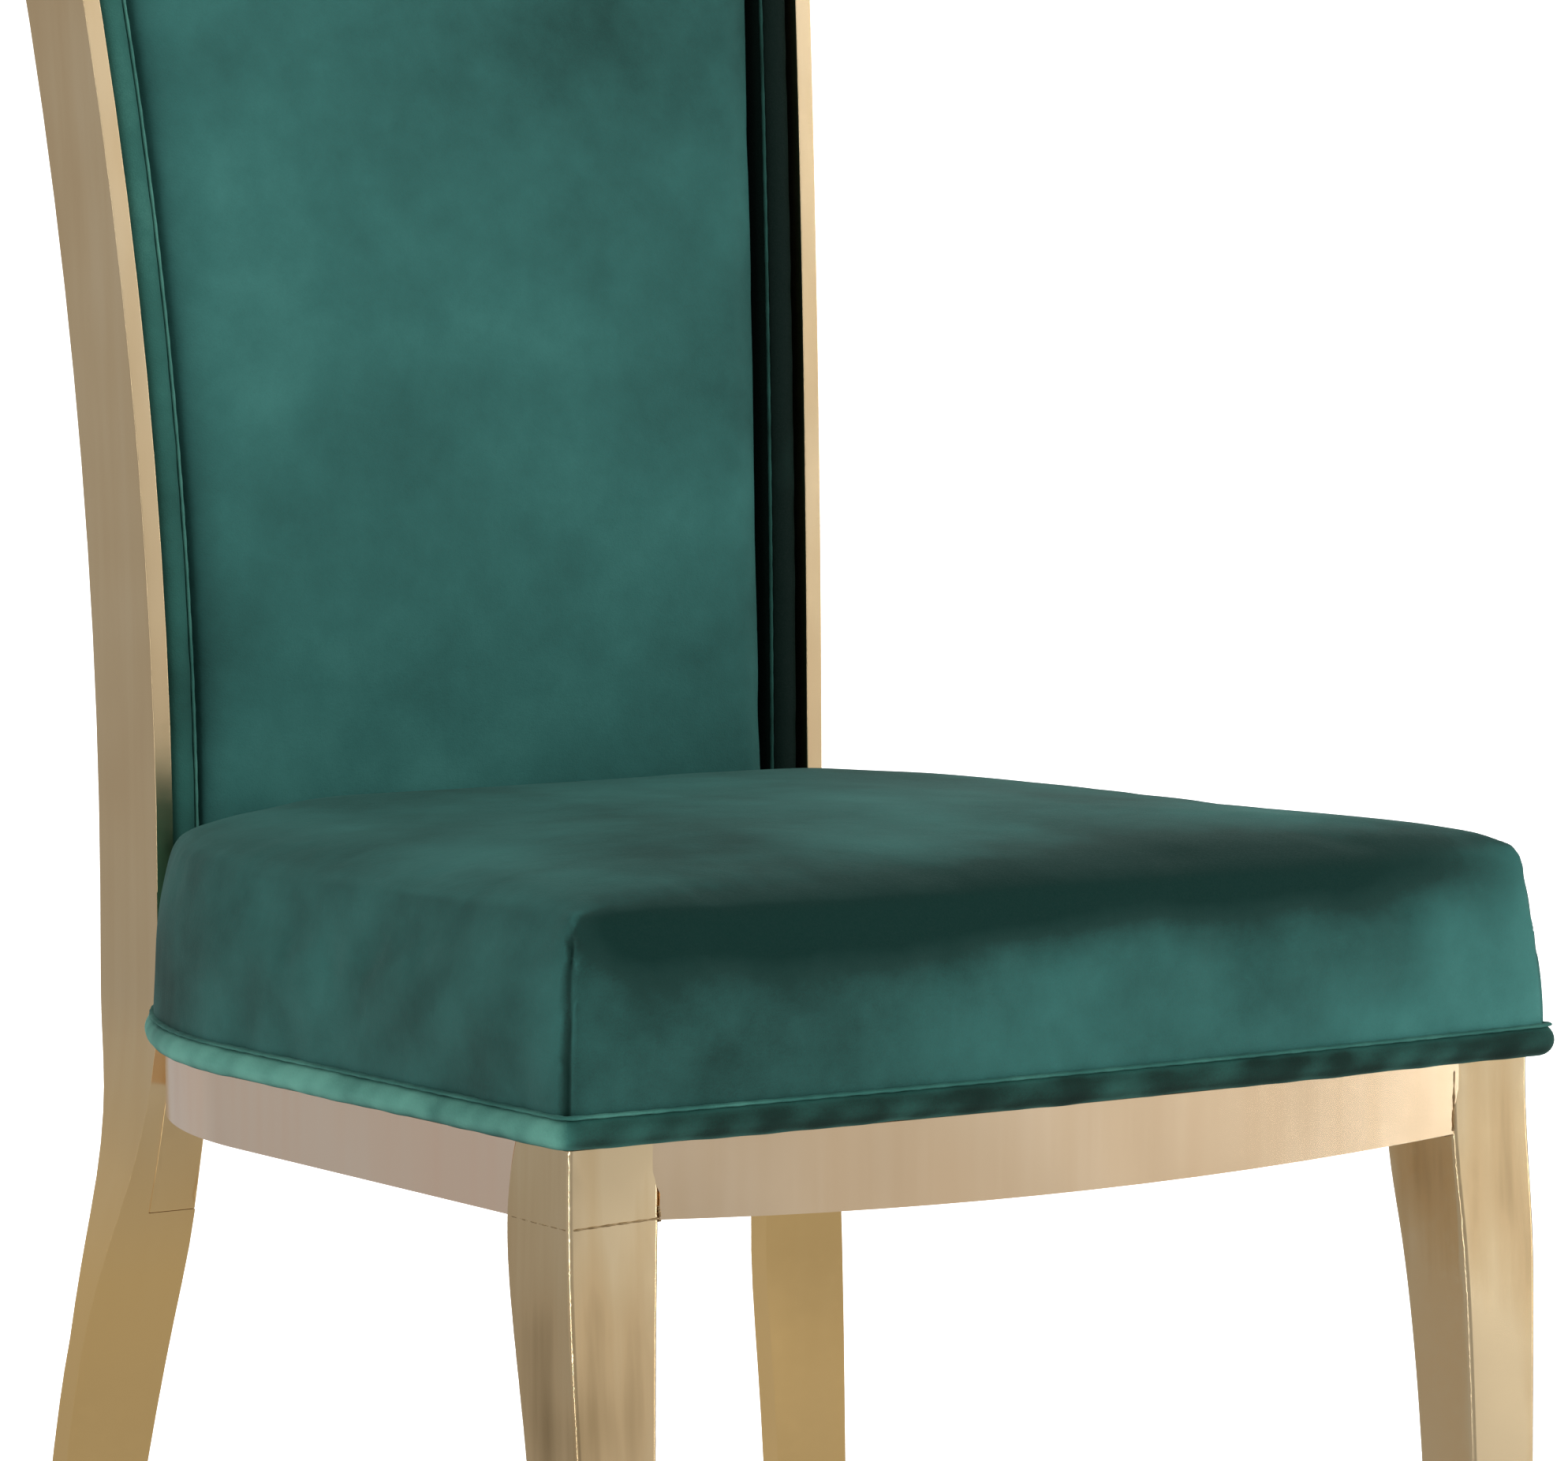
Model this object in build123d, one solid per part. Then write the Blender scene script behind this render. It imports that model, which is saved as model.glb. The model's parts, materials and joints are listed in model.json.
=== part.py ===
from build123d import *
import os

# High-back dining chair: a welded, gold-finished steel frame with a velvet seat and back.
#
# Millimetres, +Z up, the chair faces -Y, and left means -X as seen from the front.
# The model is built with Y = 0 at the front faces of the front legs, then moved so that
# its origin is at the middle of its footprint, on the floor.

# ---------------------------------------------------------------- overall sizes
overall_height = 1010.0        # floor to the top of the crest rail
rail_top = 389.0               # floor to the top of the seat rails
frame_width = 460.0            # over the outer faces of the front legs
frame_depth = 402.5            # front faces of the legs to the front edges of the rear posts

# ---------------------------------------------------------------- steel tube
wall = 1.5                     # wall of every tube
rail_height = 28.0
rail_thickness = 20.0
post_thickness = 8.0           # rear post, measured sideways
post_depth = 49.0              # rear post, measured front to back
plate_depth = 12.0             # rear leg below the seat, front to back
splay_start = 14.0             # rail top up to where the rear posts start to splay downwards
leg_rounding = 2.0             # long edges of the legs
front_rail_bow = 6.0           # the front rail curves forward by this much
front_rail_belly = 5.5         # and hangs this much lower at its middle
front_rail_tongue = 3.0        # how far its ends are cut to fit round the legs' inner edges

# ---------------------------------------------------------------- seat plan
side_rail_taper = 4.0          # how far the side rail leans in before its corner
corner_radius = 224.0          # outer radius of the curved rear corners
front_corner_radius = 6.0      # of the seat in plan, where it is level with the steel

# ---------------------------------------------------------------- back plan
post_half_width = 170.0        # centre line to the outer face of a rear post, at the seat
back_curve_start = 445.0       # height where the posts start to lean back and flare
back_lean = 70.0               # how far the top lies behind the seat end
back_flare = 35.0              # how far each post flares sideways at the top
crest_rise = 12.0              # arch of the crest rail
crest_thickness = 8.0

# ---------------------------------------------------------------- legs
glide_base = 4.0               # plastic under the end of a leg
glide_plug = 18.0              # plastic inside the leg
glide_lip = 0.8                # how far the glide stands out round the leg
insert_width = 21.5            # inner half of the rear leg, beside the post
insert_below_rail = 52.0       # rails down to the lower end of the insert
cavity_below_rail = 92.0       # rails down to the closed end of the rear leg's bore
blade_thinner = 2.0            # rear post than the leg plate, at the foot
long_edge_share = 0.35         # of a leg's height: an edge longer than this gets rounded

# ---------------------------------------------------------------- upholstery
cushion_overhang = 8.0         # welt past the steel, at the sides and front
welt_diameter = 12.5
seat_height = 480.0            # floor to the top of the seat, without its crown
cushion_set_in = 3.5           # seat cover behind the outside of the welt
cushion_rounding = 12.0
cushion_back_gap = 1.5         # seat cushion to the rear posts
board_thickness = 12.0
cover_thickness = 1.5
dust_cover_thickness = 0.6
pad_gap = 1.5                  # back pad to the posts and crest
pad_bottom = 430.0
pad_front = 1.0                # front panel behind the posts' front edges
border_front = 4.0             # border band behind the posts' front edges
border_width = 12.0
back_board_front = 31.0        # front of the back board, behind the posts' front edges
rear_cover_thickness = 3.0

# ---------------------------------------------------------------- small parts
lower_rail_height = 24.0
lower_rail_depth = 22.0
lower_rail_set_back = 20.0     # behind the posts' front edges
plate_thickness = 3.0
plate_leg = 46.0               # corner plate along each rail
bolt_inset = 20.0              # bolt from the two inner faces of its corner
bolt_diameter = 6.0
bolt_head_width = 10.0
bolt_head_height = 4.0
bolt_length = 18.0
bolt_clearance = 0.4
washer_diameter = 14.0
washer_thickness = 1.4
tee_flange = 18.0
tee_barrel = 8.0
tee_flange_thickness = 1.2
tee_barrel_short = 2.0         # barrel of a tee nut, less than the board's thickness
tab_heights = (554.0, 681.0, 880.0)
tab_reach = 17.0
tab_height = 26.0
tab_thickness = 2.5
screw_diameter = 4.0
screw_head = 8.0
screw_head_height = 2.2
screw_length = 10.0
rail_screw_spread = 100.0      # outer screws of the lower back rail from the middle
rail_screw_grip = 16.0         # how far those screws go into the back board
fit = 0.3                      # clearance between separate pieces that touch
reach = 400.0                  # longer than any piece is wide, for cutting tools

# ---------------------------------------------------------------- worked-out places
rail_bottom = rail_top - rail_height
half_width = frame_width / 2
back_board_rear = back_board_front + board_thickness
seat_board_top = rail_top + board_thickness
insert_drop = rail_height + insert_below_rail
cavity_drop = rail_height + cavity_below_rail
board_set_in = welt_diameter - cushion_set_in       # seat board, inside the seat cover
cover_outset = cushion_overhang - cushion_set_in    # seat cover, outside the steel
cover_back = frame_depth - cushion_back_gap
corner_centre_x = half_width - side_rail_taper - corner_radius
rail_end_x = post_half_width - (post_thickness + insert_width) / 2
# Y where the side rail starts its curve, so that it ends at the middle of the rear leg
side_straight = frame_depth - (corner_radius**2 - (rail_end_x - corner_centre_x) ** 2) ** 0.5
span = 2 * reach               # right across the chair
cut_box = 8 * reach            # a box larger than the chair


class Station:
    """One level of a leg, measured from the leg's outer front corner at the rail top."""

    def __init__(self, drop, out, back, width, depth):
        self.drop = drop      # below the rail top
        self.out = out        # how far the corner has moved sideways
        self.back = back      # and backwards
        self.width = width    # along the front face
        self.depth = depth    # along the outer face


foot_drop = rail_top - glide_base
front_leg_stations = [
    Station(0, 0, 0, 39.5, 36),
    Station(rail_height, 0.5, -0.6, 39.7, 42),
    Station(rail_height + 40, 1.4, -3.5, 38, 40),
    Station(rail_height + 88, 0.4, -6, 35, 35.5),
    Station((rail_height + 88 + foot_drop) / 2, -0.5, -8, 30, 30),
    Station(foot_drop, 1, -11, 25, 25),
]
rear_leg_stations = [
    Station(-splay_start, 0, 0, post_thickness + insert_width, post_depth),
    Station(rail_height, 3.2, 2.3, post_thickness + insert_width, 39),
    Station(rail_height + 32, 9.2, 6, 32.7, 29.5),
    Station(rail_height + 65, 18, 11.8, 39.5, 20),
    Station(rail_height + 98, 24.6, 18.5, 42.2, 13),
    Station(rail_height + 155, 31, 25.6, 40, plate_depth - blade_thinner),
    Station(foot_drop, 48, 45, 32, plate_depth - blade_thinner),
]


# ---------------------------------------------------------------- helpers
def mirrored(shape):
    return mirror(shape, about=Plane.YZ)


def right_half():
    """Everything on the right of the middle, as a cutting tool."""
    return Pos(cut_box / 2, 0, 0) * Box(cut_box, cut_box, cut_box)


def below(height):
    """Everything lower than a height, as a cutting tool."""
    return Pos(0, 0, height - cut_box / 2) * Box(cut_box, cut_box, cut_box)


def leg_line(stations, place):
    """A smooth line down a leg; place gives a station's distance from the Z axis.

    A leg that starts above the rail top carries on from an upright post.
    """
    points = [Vector(place(station), 0, rail_top - station.drop) for station in stations]
    if stations[0].drop < 0:
        return Spline(*points, tangents=[Vector(0, 0, -1), points[-1] - points[-2]])
    return Spline(*points)


def between_lines(first, second):
    ends = [Line(first @ 0, second @ 0), Line(first @ 1, second @ 1)]
    return make_face(Wire([first, second] + ends))


def leg_prism(stations, corner_x, corner_y, inset, front=0.0, depth=None):
    """A leg's front view and side view, each extruded, and what they have in common.

    Inset moves all four sides in. Front and depth, where given, are a fixed set-back
    and a fixed thickness in place of each station's depth.
    """
    outer = leg_line(stations, lambda at: corner_x + at.out - inset)
    inner = leg_line(stations, lambda at: corner_x + at.out - at.width + inset)
    ahead = leg_line(stations, lambda at: corner_y + at.back + front + inset)
    behind = leg_line(
        stations, lambda at: corner_y + at.back + front + (depth or at.depth) - inset
    )
    front_view = extrude(between_lines(outer, inner), span, dir=(0, 1, 0), both=True)
    side_view = Rot(0, 0, 90) * between_lines(ahead, behind)
    return front_view & extrude(side_view, span, dir=(1, 0, 0), both=True)


def long_edges(shape):
    """The edges that run most of a tall piece's height."""
    least = long_edge_share * shape.bounding_box().size.Z
    return [edge for edge in shape.edges() if edge.bounding_box().size.Z > least]


def front_leg_outside(inset=0.0):
    return leg_prism(front_leg_stations, half_width, 0, inset)


def side_outline(outset, start_y, end_y):
    """The right edge of the seat in plan, moved outwards: a straight run, then the round corner."""
    radius = corner_radius + outset
    corner_x = corner_centre_x + radius
    start_x = corner_x + side_rail_taper * (side_straight - start_y) / side_straight
    end_x = corner_centre_x + (radius**2 - (end_y - side_straight) ** 2) ** 0.5
    straight = Line((start_x, start_y), (corner_x, side_straight))
    corner = RadiusArc((corner_x, side_straight), (end_x, end_y), -radius)
    return [straight, corner]


def end_points(edges):
    return edges[0] @ 0, edges[-1] @ 1


def seat_face(outset, back_y):
    """The whole seat in plan, its front edge bowed like the front rail."""
    right = side_outline(outset, -outset, back_y)
    left = [edge.mirror(Plane.YZ) for edge in right]
    right_start, right_end = end_points(right)
    left_start, left_end = end_points(left)
    front_middle = (0, -outset - front_rail_bow)
    front = ThreePointArc(left_start, front_middle, right_start)
    back = Line(left_end, right_end)
    face = make_face(Wire(right + left + [front, back]))
    front_corners = face.vertices().sort_by(Axis.Y)[:2]
    return fillet(front_corners, max(front_corner_radius + outset, fit))


def post_curve(height):
    """How far along its curve the back is at a height, from 0 at its start to 1 at the top."""
    return max(0.0, (height - back_curve_start) / (overall_height - back_curve_start)) ** 2


def lean_edges(offset, low):
    """Side view of a surface of the back, a distance behind the posts' front edges."""
    y = frame_depth + offset
    middle = (back_curve_start + overall_height) / 2
    straight = Line((0, y, low), (0, y, back_curve_start))
    curve = Bezier(
        (0, y, back_curve_start), (0, y, middle), (0, y + back_lean, overall_height)
    )
    return [straight, curve]


def back_slab(front, rear, low):
    """A full-width curved slab between two distances behind the posts' front edges."""
    front_edges = lean_edges(front, low)
    rear_edges = lean_edges(rear, low)
    ends = [
        Line(front_edges[0] @ 0, rear_edges[0] @ 0),
        Line(front_edges[1] @ 1, rear_edges[1] @ 1),
    ]
    face = make_face(Wire(front_edges + rear_edges + ends))
    return extrude(face, reach, dir=(1, 0, 0), both=True)


def back_outline(inset, low, top_inset=None):
    """Front view of the back, inset at its sides and top, as a deep prism."""
    top_drop = inset if top_inset is None else top_inset
    x = post_half_width - inset
    middle = (back_curve_start + overall_height) / 2
    top = overall_height - top_drop
    right = [
        Line((x, 0, low), (x, 0, back_curve_start)),
        Bezier((x, 0, back_curve_start), (x, 0, middle), (x + back_flare, 0, overall_height)),
    ]
    left = [edge.mirror(Plane.YZ) for edge in right]
    ends = [Line(left[0] @ 0, right[0] @ 0), Line(left[1] @ 1, right[1] @ 1)]
    sides = make_face(Wire(right + left + ends))
    half_span = post_half_width + back_flare
    arch = ThreePointArc(
        (-half_span, 0, top - crest_rise), (0, 0, top), (half_span, 0, top - crest_rise)
    )
    under_arch = make_face(
        Wire(
            [
                arch,
                Line(arch @ 0, (-half_span, 0, low)),
                Line((-half_span, 0, low), (half_span, 0, low)),
                Line((half_span, 0, low), arch @ 1),
            ]
        )
    )
    prism = extrude(sides, span, dir=(0, 1, 0))
    return prism & extrude(under_arch, span, dir=(0, 1, 0))


def back_piece(front, rear, inset, low):
    return back_slab(front, rear, low) & back_outline(inset, low)


# ---------------------------------------------------------------- frame
def front_leg():
    """A tapering four-sided tube, closed at the top and open at the foot for its glide."""
    outside = front_leg_outside()
    bore = front_leg_outside(wall) & below(rail_top - wall)
    return fillet(long_edges(outside), leg_rounding) - bore


def leg_plate(inset=0.0):
    """The broad flat part of the rear leg, up to the rail top."""
    plate = leg_prism(
        rear_leg_stations, post_half_width, frame_depth, inset, depth=plate_depth
    )
    return plate & below(rail_top)


def insert_tool():
    """Takes the inner part of the rear leg, from the rail top down to its weld."""
    weld = rear_leg_stations[3]
    bottom_x = post_half_width + weld.out - weld.width + insert_width
    outline = Polyline(
        (post_half_width - post_thickness, 0, rail_top + fit),
        (bottom_x, 0, rail_top - insert_drop),
        (0, 0, rail_top - insert_drop),
        (0, 0, rail_top + fit),
        close=True,
    )
    return extrude(make_face(outline), span, dir=(0, 1, 0))


def rear_leg_insert():
    """The block that widens the rear leg beside the post and takes the rail welds."""
    return leg_plate() & insert_tool()


def blade(inset=0.0):
    """The flat bar that runs from the floor to the crest, its lower end tapering away."""
    lower_out = leg_line(rear_leg_stations, lambda at: post_half_width + at.out - inset)
    lower_in = lower_out.translate(Vector(2 * inset - post_thickness, 0, 0))
    lower_front = leg_line(rear_leg_stations, lambda at: frame_depth + at.back + inset)
    lower_rear = leg_line(
        rear_leg_stations, lambda at: frame_depth + at.back + at.depth - inset
    )
    front_view = between_lines(lower_out, lower_in)
    side_view = Rot(0, 0, 90) * between_lines(lower_front, lower_rear)
    lower = extrude(front_view, span, dir=(0, 1, 0)) & extrude(
        side_view, reach, dir=(1, 0, 0), both=True
    )
    low = rail_top + splay_start
    outline = back_outline(inset, low, crest_thickness)
    outline = outline - back_outline(post_thickness - inset, low, -reach)
    upper = back_slab(inset, post_depth - inset, low) & outline
    return lower, upper & right_half()


def rear_post():
    """One formed bar from the floor to the crest: flat above the seat, broad below it."""
    lower, upper = blade()
    bore = blade(wall)[1]
    plate = leg_plate() - insert_tool()
    plate_bore = leg_plate(wall) & below(rail_top - cavity_drop)
    return (upper - bore) + (lower + plate - plate_bore)


def crest_rail():
    """The arched bar that joins the tops of the two posts."""
    bar = back_slab(0, post_depth, rail_top) & back_outline(0, rail_top)
    return bar - back_outline(-post_thickness, rail_top, crest_thickness)


def front_rail():
    """A bowed tube between the front legs, deeper at its middle."""
    end = half_width - front_leg_stations[0].width + front_rail_tongue

    def tube(inset):
        front = ThreePointArc((-end, inset), (0, inset - front_rail_bow), (end, inset))
        rear = Line((-end, rail_thickness - inset), (end, rail_thickness - inset))
        low = rail_bottom + inset
        belly = ThreePointArc((-end, 0, low), (0, 0, low - front_rail_belly), (end, 0, low))
        top = Line((-end, 0, rail_top - inset), (end, 0, rail_top - inset))
        plan = extrude(between_lines(front, rear), 2 * rail_top, dir=(0, 0, 1))
        return plan & extrude(between_lines(belly, top), reach, dir=(0, 1, 0), both=True)

    legs = front_leg_outside() + mirrored(front_leg_outside())
    return tube(0) - tube(wall) - legs


def side_rail_tube(inset, low, high):
    end_y = frame_depth + 2 * fit
    outer = side_outline(-inset, 0, end_y)
    inner = side_outline(inset - rail_thickness, 0, end_y)
    outer_start, outer_end = end_points(outer)
    inner_start, inner_end = end_points(inner)
    face = make_face(
        Wire(outer + inner + [Line(outer_start, inner_start), Line(outer_end, inner_end)])
    )
    return Pos(0, 0, low) * extrude(face, high - low, dir=(0, 0, 1))


def side_rail_outside():
    return side_rail_tube(0, rail_bottom, rail_top)


def side_rail():
    """A rectangular tube that runs back from the front leg and curls in to the rear leg."""
    bore = side_rail_tube(wall, rail_bottom + wall, rail_top - wall)
    rail = side_rail_outside() - bore - front_leg_outside() - leg_plate()
    return max(rail.solids(), key=lambda solid: solid.volume)


def rear_rail():
    """A straight tube between the curled ends of the side rails."""
    y = frame_depth - rail_thickness / 2
    z = rail_top - rail_height / 2
    tube = Box(frame_width, rail_thickness, rail_height)
    bore = Box(frame_width, rail_thickness - 2 * wall, rail_height - 2 * wall)
    legs = leg_plate() + mirrored(leg_plate())
    sides = side_rail_outside() + mirrored(side_rail_outside())
    between = Box(2 * corner_centre_x + 2 * (corner_radius - rail_thickness), reach, reach)
    piece = Pos(0, y, z) * (tube - bore) - sides - legs
    piece = piece & Pos(0, y, z) * between
    return max(piece.solids(), key=lambda solid: solid.volume)


def lower_back_rail():
    """A tube between the posts, just above the seat rails, that carries the back pad."""
    length = 2 * (post_half_width - post_thickness)
    tube = Box(length, lower_rail_depth, lower_rail_height)
    bore = Box(length, lower_rail_depth - 2 * wall, lower_rail_height - 2 * wall)
    y = frame_depth + lower_rail_set_back + lower_rail_depth / 2
    z = pad_bottom - pad_gap - lower_rail_height / 2
    return Pos(0, y, z) * (tube - bore) - rail_screw_holes()


# ---------------------------------------------------------------- seat fixings
def front_bolt_place():
    x = half_width - front_leg_stations[0].width - bolt_inset / 2
    return x, rail_thickness + bolt_inset


def rear_bolt_place():
    y = frame_depth - rail_thickness - bolt_inset
    inner_radius = corner_radius - rail_thickness
    edge_x = corner_centre_x + (inner_radius**2 - (y - side_straight) ** 2) ** 0.5
    return edge_x - bolt_inset, y


def bolt_places():
    return [
        (side * x, y) for x, y in (front_bolt_place(), rear_bolt_place()) for side in (-1, 1)
    ]


def corner_plates():
    """Four steel plates welded level with the rail tops, one in each corner of the frame."""
    rails = side_rail_outside() + mirrored(side_rail_outside())
    rails = rails + Pos(0, rail_thickness / 2, rail_top) * Box(frame_width, rail_thickness, reach)
    rear_y = frame_depth - rail_thickness / 2
    rails = rails + Pos(0, rear_y, rail_top) * Box(frame_width, rail_thickness, reach)
    legs = front_leg_outside() + mirrored(front_leg_outside())
    inside = Pos(0, 0, rail_top - plate_thickness) * extrude(
        seat_face(-rail_thickness / 2, frame_depth), plate_thickness, dir=(0, 0, 1)
    )
    plates = []
    for x, y in bolt_places():
        z = rail_top - plate_thickness / 2
        blank = Pos(x, y, z) * Box(2 * plate_leg, plate_leg, plate_thickness)
        hole = Pos(x, y, z) * Cylinder(bolt_diameter / 2 + bolt_clearance, 2 * plate_thickness)
        plate = (blank & inside) - rails - legs - hole
        plates.append(max(plate.solids(), key=lambda solid: solid.volume))
    return plates


def seat_bolts():
    head = RegularPolygon(bolt_head_width / 2, 6, major_radius=False)
    under_plate = rail_top - plate_thickness - washer_thickness
    bolts = []
    for x, y in bolt_places():
        head_part = Pos(x, y, under_plate - bolt_head_height) * extrude(head, bolt_head_height)
        shank = Pos(x, y, under_plate + bolt_length / 2) * Cylinder(bolt_diameter / 2, bolt_length)
        bolts.append(head_part + shank)
    return bolts


def seat_washers():
    bore = bolt_diameter / 2 + bolt_clearance
    ring = Cylinder(washer_diameter / 2, washer_thickness) - Cylinder(bore, washer_thickness)
    z = rail_top - plate_thickness - washer_thickness / 2
    return [Pos(x, y, z) * ring for x, y in bolt_places()]


def seat_tee_nuts():
    """Tee nuts pressed into the seat board from above; the seat bolts screw into them."""
    barrel_length = board_thickness - tee_barrel_short
    nuts = []
    for x, y in bolt_places():
        flange = Pos(x, y, seat_board_top + tee_flange_thickness / 2) * Cylinder(
            tee_flange / 2, tee_flange_thickness
        )
        barrel = Pos(x, y, seat_board_top - barrel_length / 2) * Cylinder(
            tee_barrel / 2, barrel_length
        )
        bore = Pos(x, y, seat_board_top) * Cylinder(bolt_diameter / 2 + fit / 2, 4 * barrel_length)
        nuts.append(flange + barrel - bore)
    return nuts


# ---------------------------------------------------------------- seat
def cushion_solid(inset, low, high, rounding):
    """The seat cushion's outer form, with a rounded top edge."""
    outline = seat_face(cover_outset - inset, cover_back - inset)
    block = Pos(0, 0, low) * extrude(outline, high - low, dir=(0, 0, 1))
    upright = block.edges().filter_by(Axis.Z).sort_by(Axis.Y)[-2:]
    block = fillet(upright, rounding)
    return fillet(block.faces().sort_by(Axis.Z)[-1].edges(), rounding)


def seat_board():
    outline = seat_face(cover_outset - board_set_in, cover_back - board_set_in)
    board = Pos(0, 0, rail_top) * extrude(outline, board_thickness, dir=(0, 0, 1))
    for x, y in bolt_places():
        board = board - Pos(x, y, seat_board_top) * Cylinder(
            (tee_barrel + fit) / 2, 4 * board_thickness
        )
    return board


def seat_cover():
    """The velvet cover: an open-bottomed shell over the foam and the edge of the board."""
    low = rail_top + fit
    outer = cushion_solid(0, low, seat_height, cushion_rounding)
    inner_top = seat_height - cover_thickness
    inner = cushion_solid(
        cover_thickness, rail_top - fit, inner_top, cushion_rounding - cover_thickness
    )
    return outer - inner - welt_tube(welt_diameter / 2 + fit)


def seat_foam():
    inset = cover_thickness + fit
    top = seat_height - inset
    foam = cushion_solid(inset, rail_top + fit, top, cushion_rounding - inset)
    round_board = board_set_in - fit
    outline = seat_face(cover_outset - round_board, cover_back - round_board)
    room = Pos(0, 0, rail_top - fit) * extrude(outline, board_thickness + fit, dir=(0, 0, 1))
    foam = foam - room - welt_tube(welt_diameter / 2 + fit)
    for x, y in bolt_places():
        recess = Cylinder(tee_flange / 2 + fit, 2 * (tee_flange_thickness + bolt_length / 2))
        foam = foam - Pos(x, y, seat_board_top) * recess
    return foam


def welt_tube(radius):
    """A round cord that follows the bottom edge of the seat cover, except across the back."""
    centre = rail_top + fit + welt_diameter / 2
    outline = seat_face(cushion_overhang - welt_diameter / 2, cover_back - welt_diameter / 2)
    path = Wire(outline.edges().sort_by(Axis.Y)[:-1])
    section = Plane(origin=path @ 0, z_dir=path % 0) * Circle(radius)
    return Pos(0, 0, centre) * sweep(section, path=path)


def seat_welt():
    return welt_tube(welt_diameter / 2)


def seat_dust_cover():
    """Thin black cloth on the underside of the board, inside the rails."""
    sheet = extrude(
        seat_face(-rail_thickness - fit, frame_depth - rail_thickness - fit),
        dust_cover_thickness,
        dir=(0, 0, 1),
    )
    sheet = Pos(0, 0, rail_top - dust_cover_thickness) * sheet
    sheet = sheet - Pos(0, rail_thickness / 2, rail_top) * Box(
        frame_width, rail_thickness + 2 * fit, rail_height
    )
    legs = front_leg_outside(-fit) + mirrored(front_leg_outside(-fit))
    sheet = sheet - legs
    for x, y in bolt_places():
        sheet = sheet - Pos(x, y, rail_top) * Box(
            2 * plate_leg + 2 * fit, plate_leg + 2 * fit, rail_height
        )
    return max(sheet.solids(), key=lambda solid: solid.volume)


# ---------------------------------------------------------------- back
def tab_places():
    """Height, inner face of the post and front edge of the post at each fixing tab."""
    places = []
    for height in tab_heights:
        inner_x = post_half_width - post_thickness + back_flare * post_curve(height)
        front_y = frame_depth + back_lean * post_curve(height)
        places.append((height, inner_x, front_y))
    return places


def tab_blank(clearance):
    """The six fixing tabs, grown by a clearance for the pockets that take them."""
    front = back_board_front - tab_thickness - clearance
    rear = back_board_front + clearance
    slab = back_slab(front, rear, pad_bottom)
    ring = back_outline(post_thickness, pad_bottom) - back_outline(
        post_thickness + tab_reach + clearance, pad_bottom
    )
    tabs = []
    for height in tab_heights:
        band = Pos(0, frame_depth, height) * Box(
            cut_box, cut_box, tab_height + 2 * clearance
        )
        tabs.append(slab & ring & band)
    return tabs


def screw_axes():
    """Where the tab screws go: the middle of each tab, square to the board."""
    planes = []
    for height, inner_x, front_y in tab_places():
        x = inner_x - tab_reach / 2
        lean_slope = 2 * back_lean * post_curve(height) ** 0.5
        lean_slope = lean_slope / (overall_height - back_curve_start)
        direction = Vector(0, 1, -lean_slope).normalized()
        for side in (-1, 1):
            origin = (side * x, front_y + back_board_front - tab_thickness, height)
            planes.append(Plane(origin=origin, z_dir=direction))
    return planes


def back_tabs():
    """Steel tabs welded inside the posts; the back board is screwed to their rear faces."""
    holes = [
        plane * Cylinder(screw_diameter / 2 + fit, 4 * tab_thickness) for plane in screw_axes()
    ]
    tabs = []
    for blank in tab_blank(0):
        for solid in blank.solids():
            tabs.append(solid - holes)
    return tabs


def back_tab_screws():
    screws = []
    for plane in screw_axes():
        head = Pos(0, 0, -screw_head_height / 2) * Cylinder(screw_head / 2, screw_head_height)
        shank = Pos(0, 0, screw_length / 2) * Cylinder(screw_diameter / 2, screw_length)
        screws.append(plane * (head + shank))
    return screws


def rail_screw_places():
    y = frame_depth + back_board_front + board_thickness / 2
    return [(step * rail_screw_spread, y) for step in (-1, 0, 1)]


def rail_screw_holes():
    hole = Cylinder(screw_diameter / 2 + fit, 4 * lower_rail_height)
    return [Pos(x, y, pad_bottom) * hole for x, y in rail_screw_places()]


def back_rail_screws():
    """Long screws through the lower back rail, up into the edge of the back board."""
    head_top = pad_bottom - pad_gap - lower_rail_height
    length = lower_rail_height + pad_gap + rail_screw_grip
    screws = []
    for x, y in rail_screw_places():
        head = Pos(x, y, head_top - screw_head_height / 2) * Cylinder(
            screw_head / 2, screw_head_height
        )
        shank = Pos(x, y, head_top + length / 2) * Cylinder(screw_diameter / 2, length)
        screws.append(head + shank)
    return screws


def back_board():
    board = back_piece(back_board_front, back_board_rear, post_thickness + pad_gap, pad_bottom)
    for plane in screw_axes():
        depth = tab_thickness + screw_length
        board = board - plane * Pos(0, 0, depth / 2) * Cylinder(
            (screw_diameter + fit) / 2, depth
        )
    for x, y in rail_screw_places():
        depth = 2 * (rail_screw_grip + fit)
        board = board - Pos(x, y, pad_bottom) * Cylinder((screw_diameter + fit) / 2, depth)
    return board


def back_border():
    """The narrow upholstered band round the front panel."""
    edge = post_thickness + pad_gap
    band = back_piece(border_front, back_board_front - fit, edge, pad_bottom)
    band = band - back_outline(edge + border_width, rail_top)
    return band - tab_blank(fit) - screw_room()


def back_front_cover():
    """The front panel's velvet: a shell over the foam, open at the board."""
    edge = post_thickness + pad_gap + border_width + fit
    outer = back_piece(pad_front, back_board_front - fit, edge, pad_bottom)
    inner = back_piece(
        pad_front + cover_thickness, back_board_front + fit, edge + cover_thickness,
        pad_bottom + cover_thickness,
    )
    return outer - inner - tab_blank(fit) - screw_room()


def screw_room():
    """Space in the foam and cover round the heads of the tab screws."""
    depth = screw_head_height + fit
    return [
        plane * Pos(0, 0, -depth / 2) * Cylinder(screw_head / 2 + fit, depth)
        for plane in screw_axes()
    ]


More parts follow.
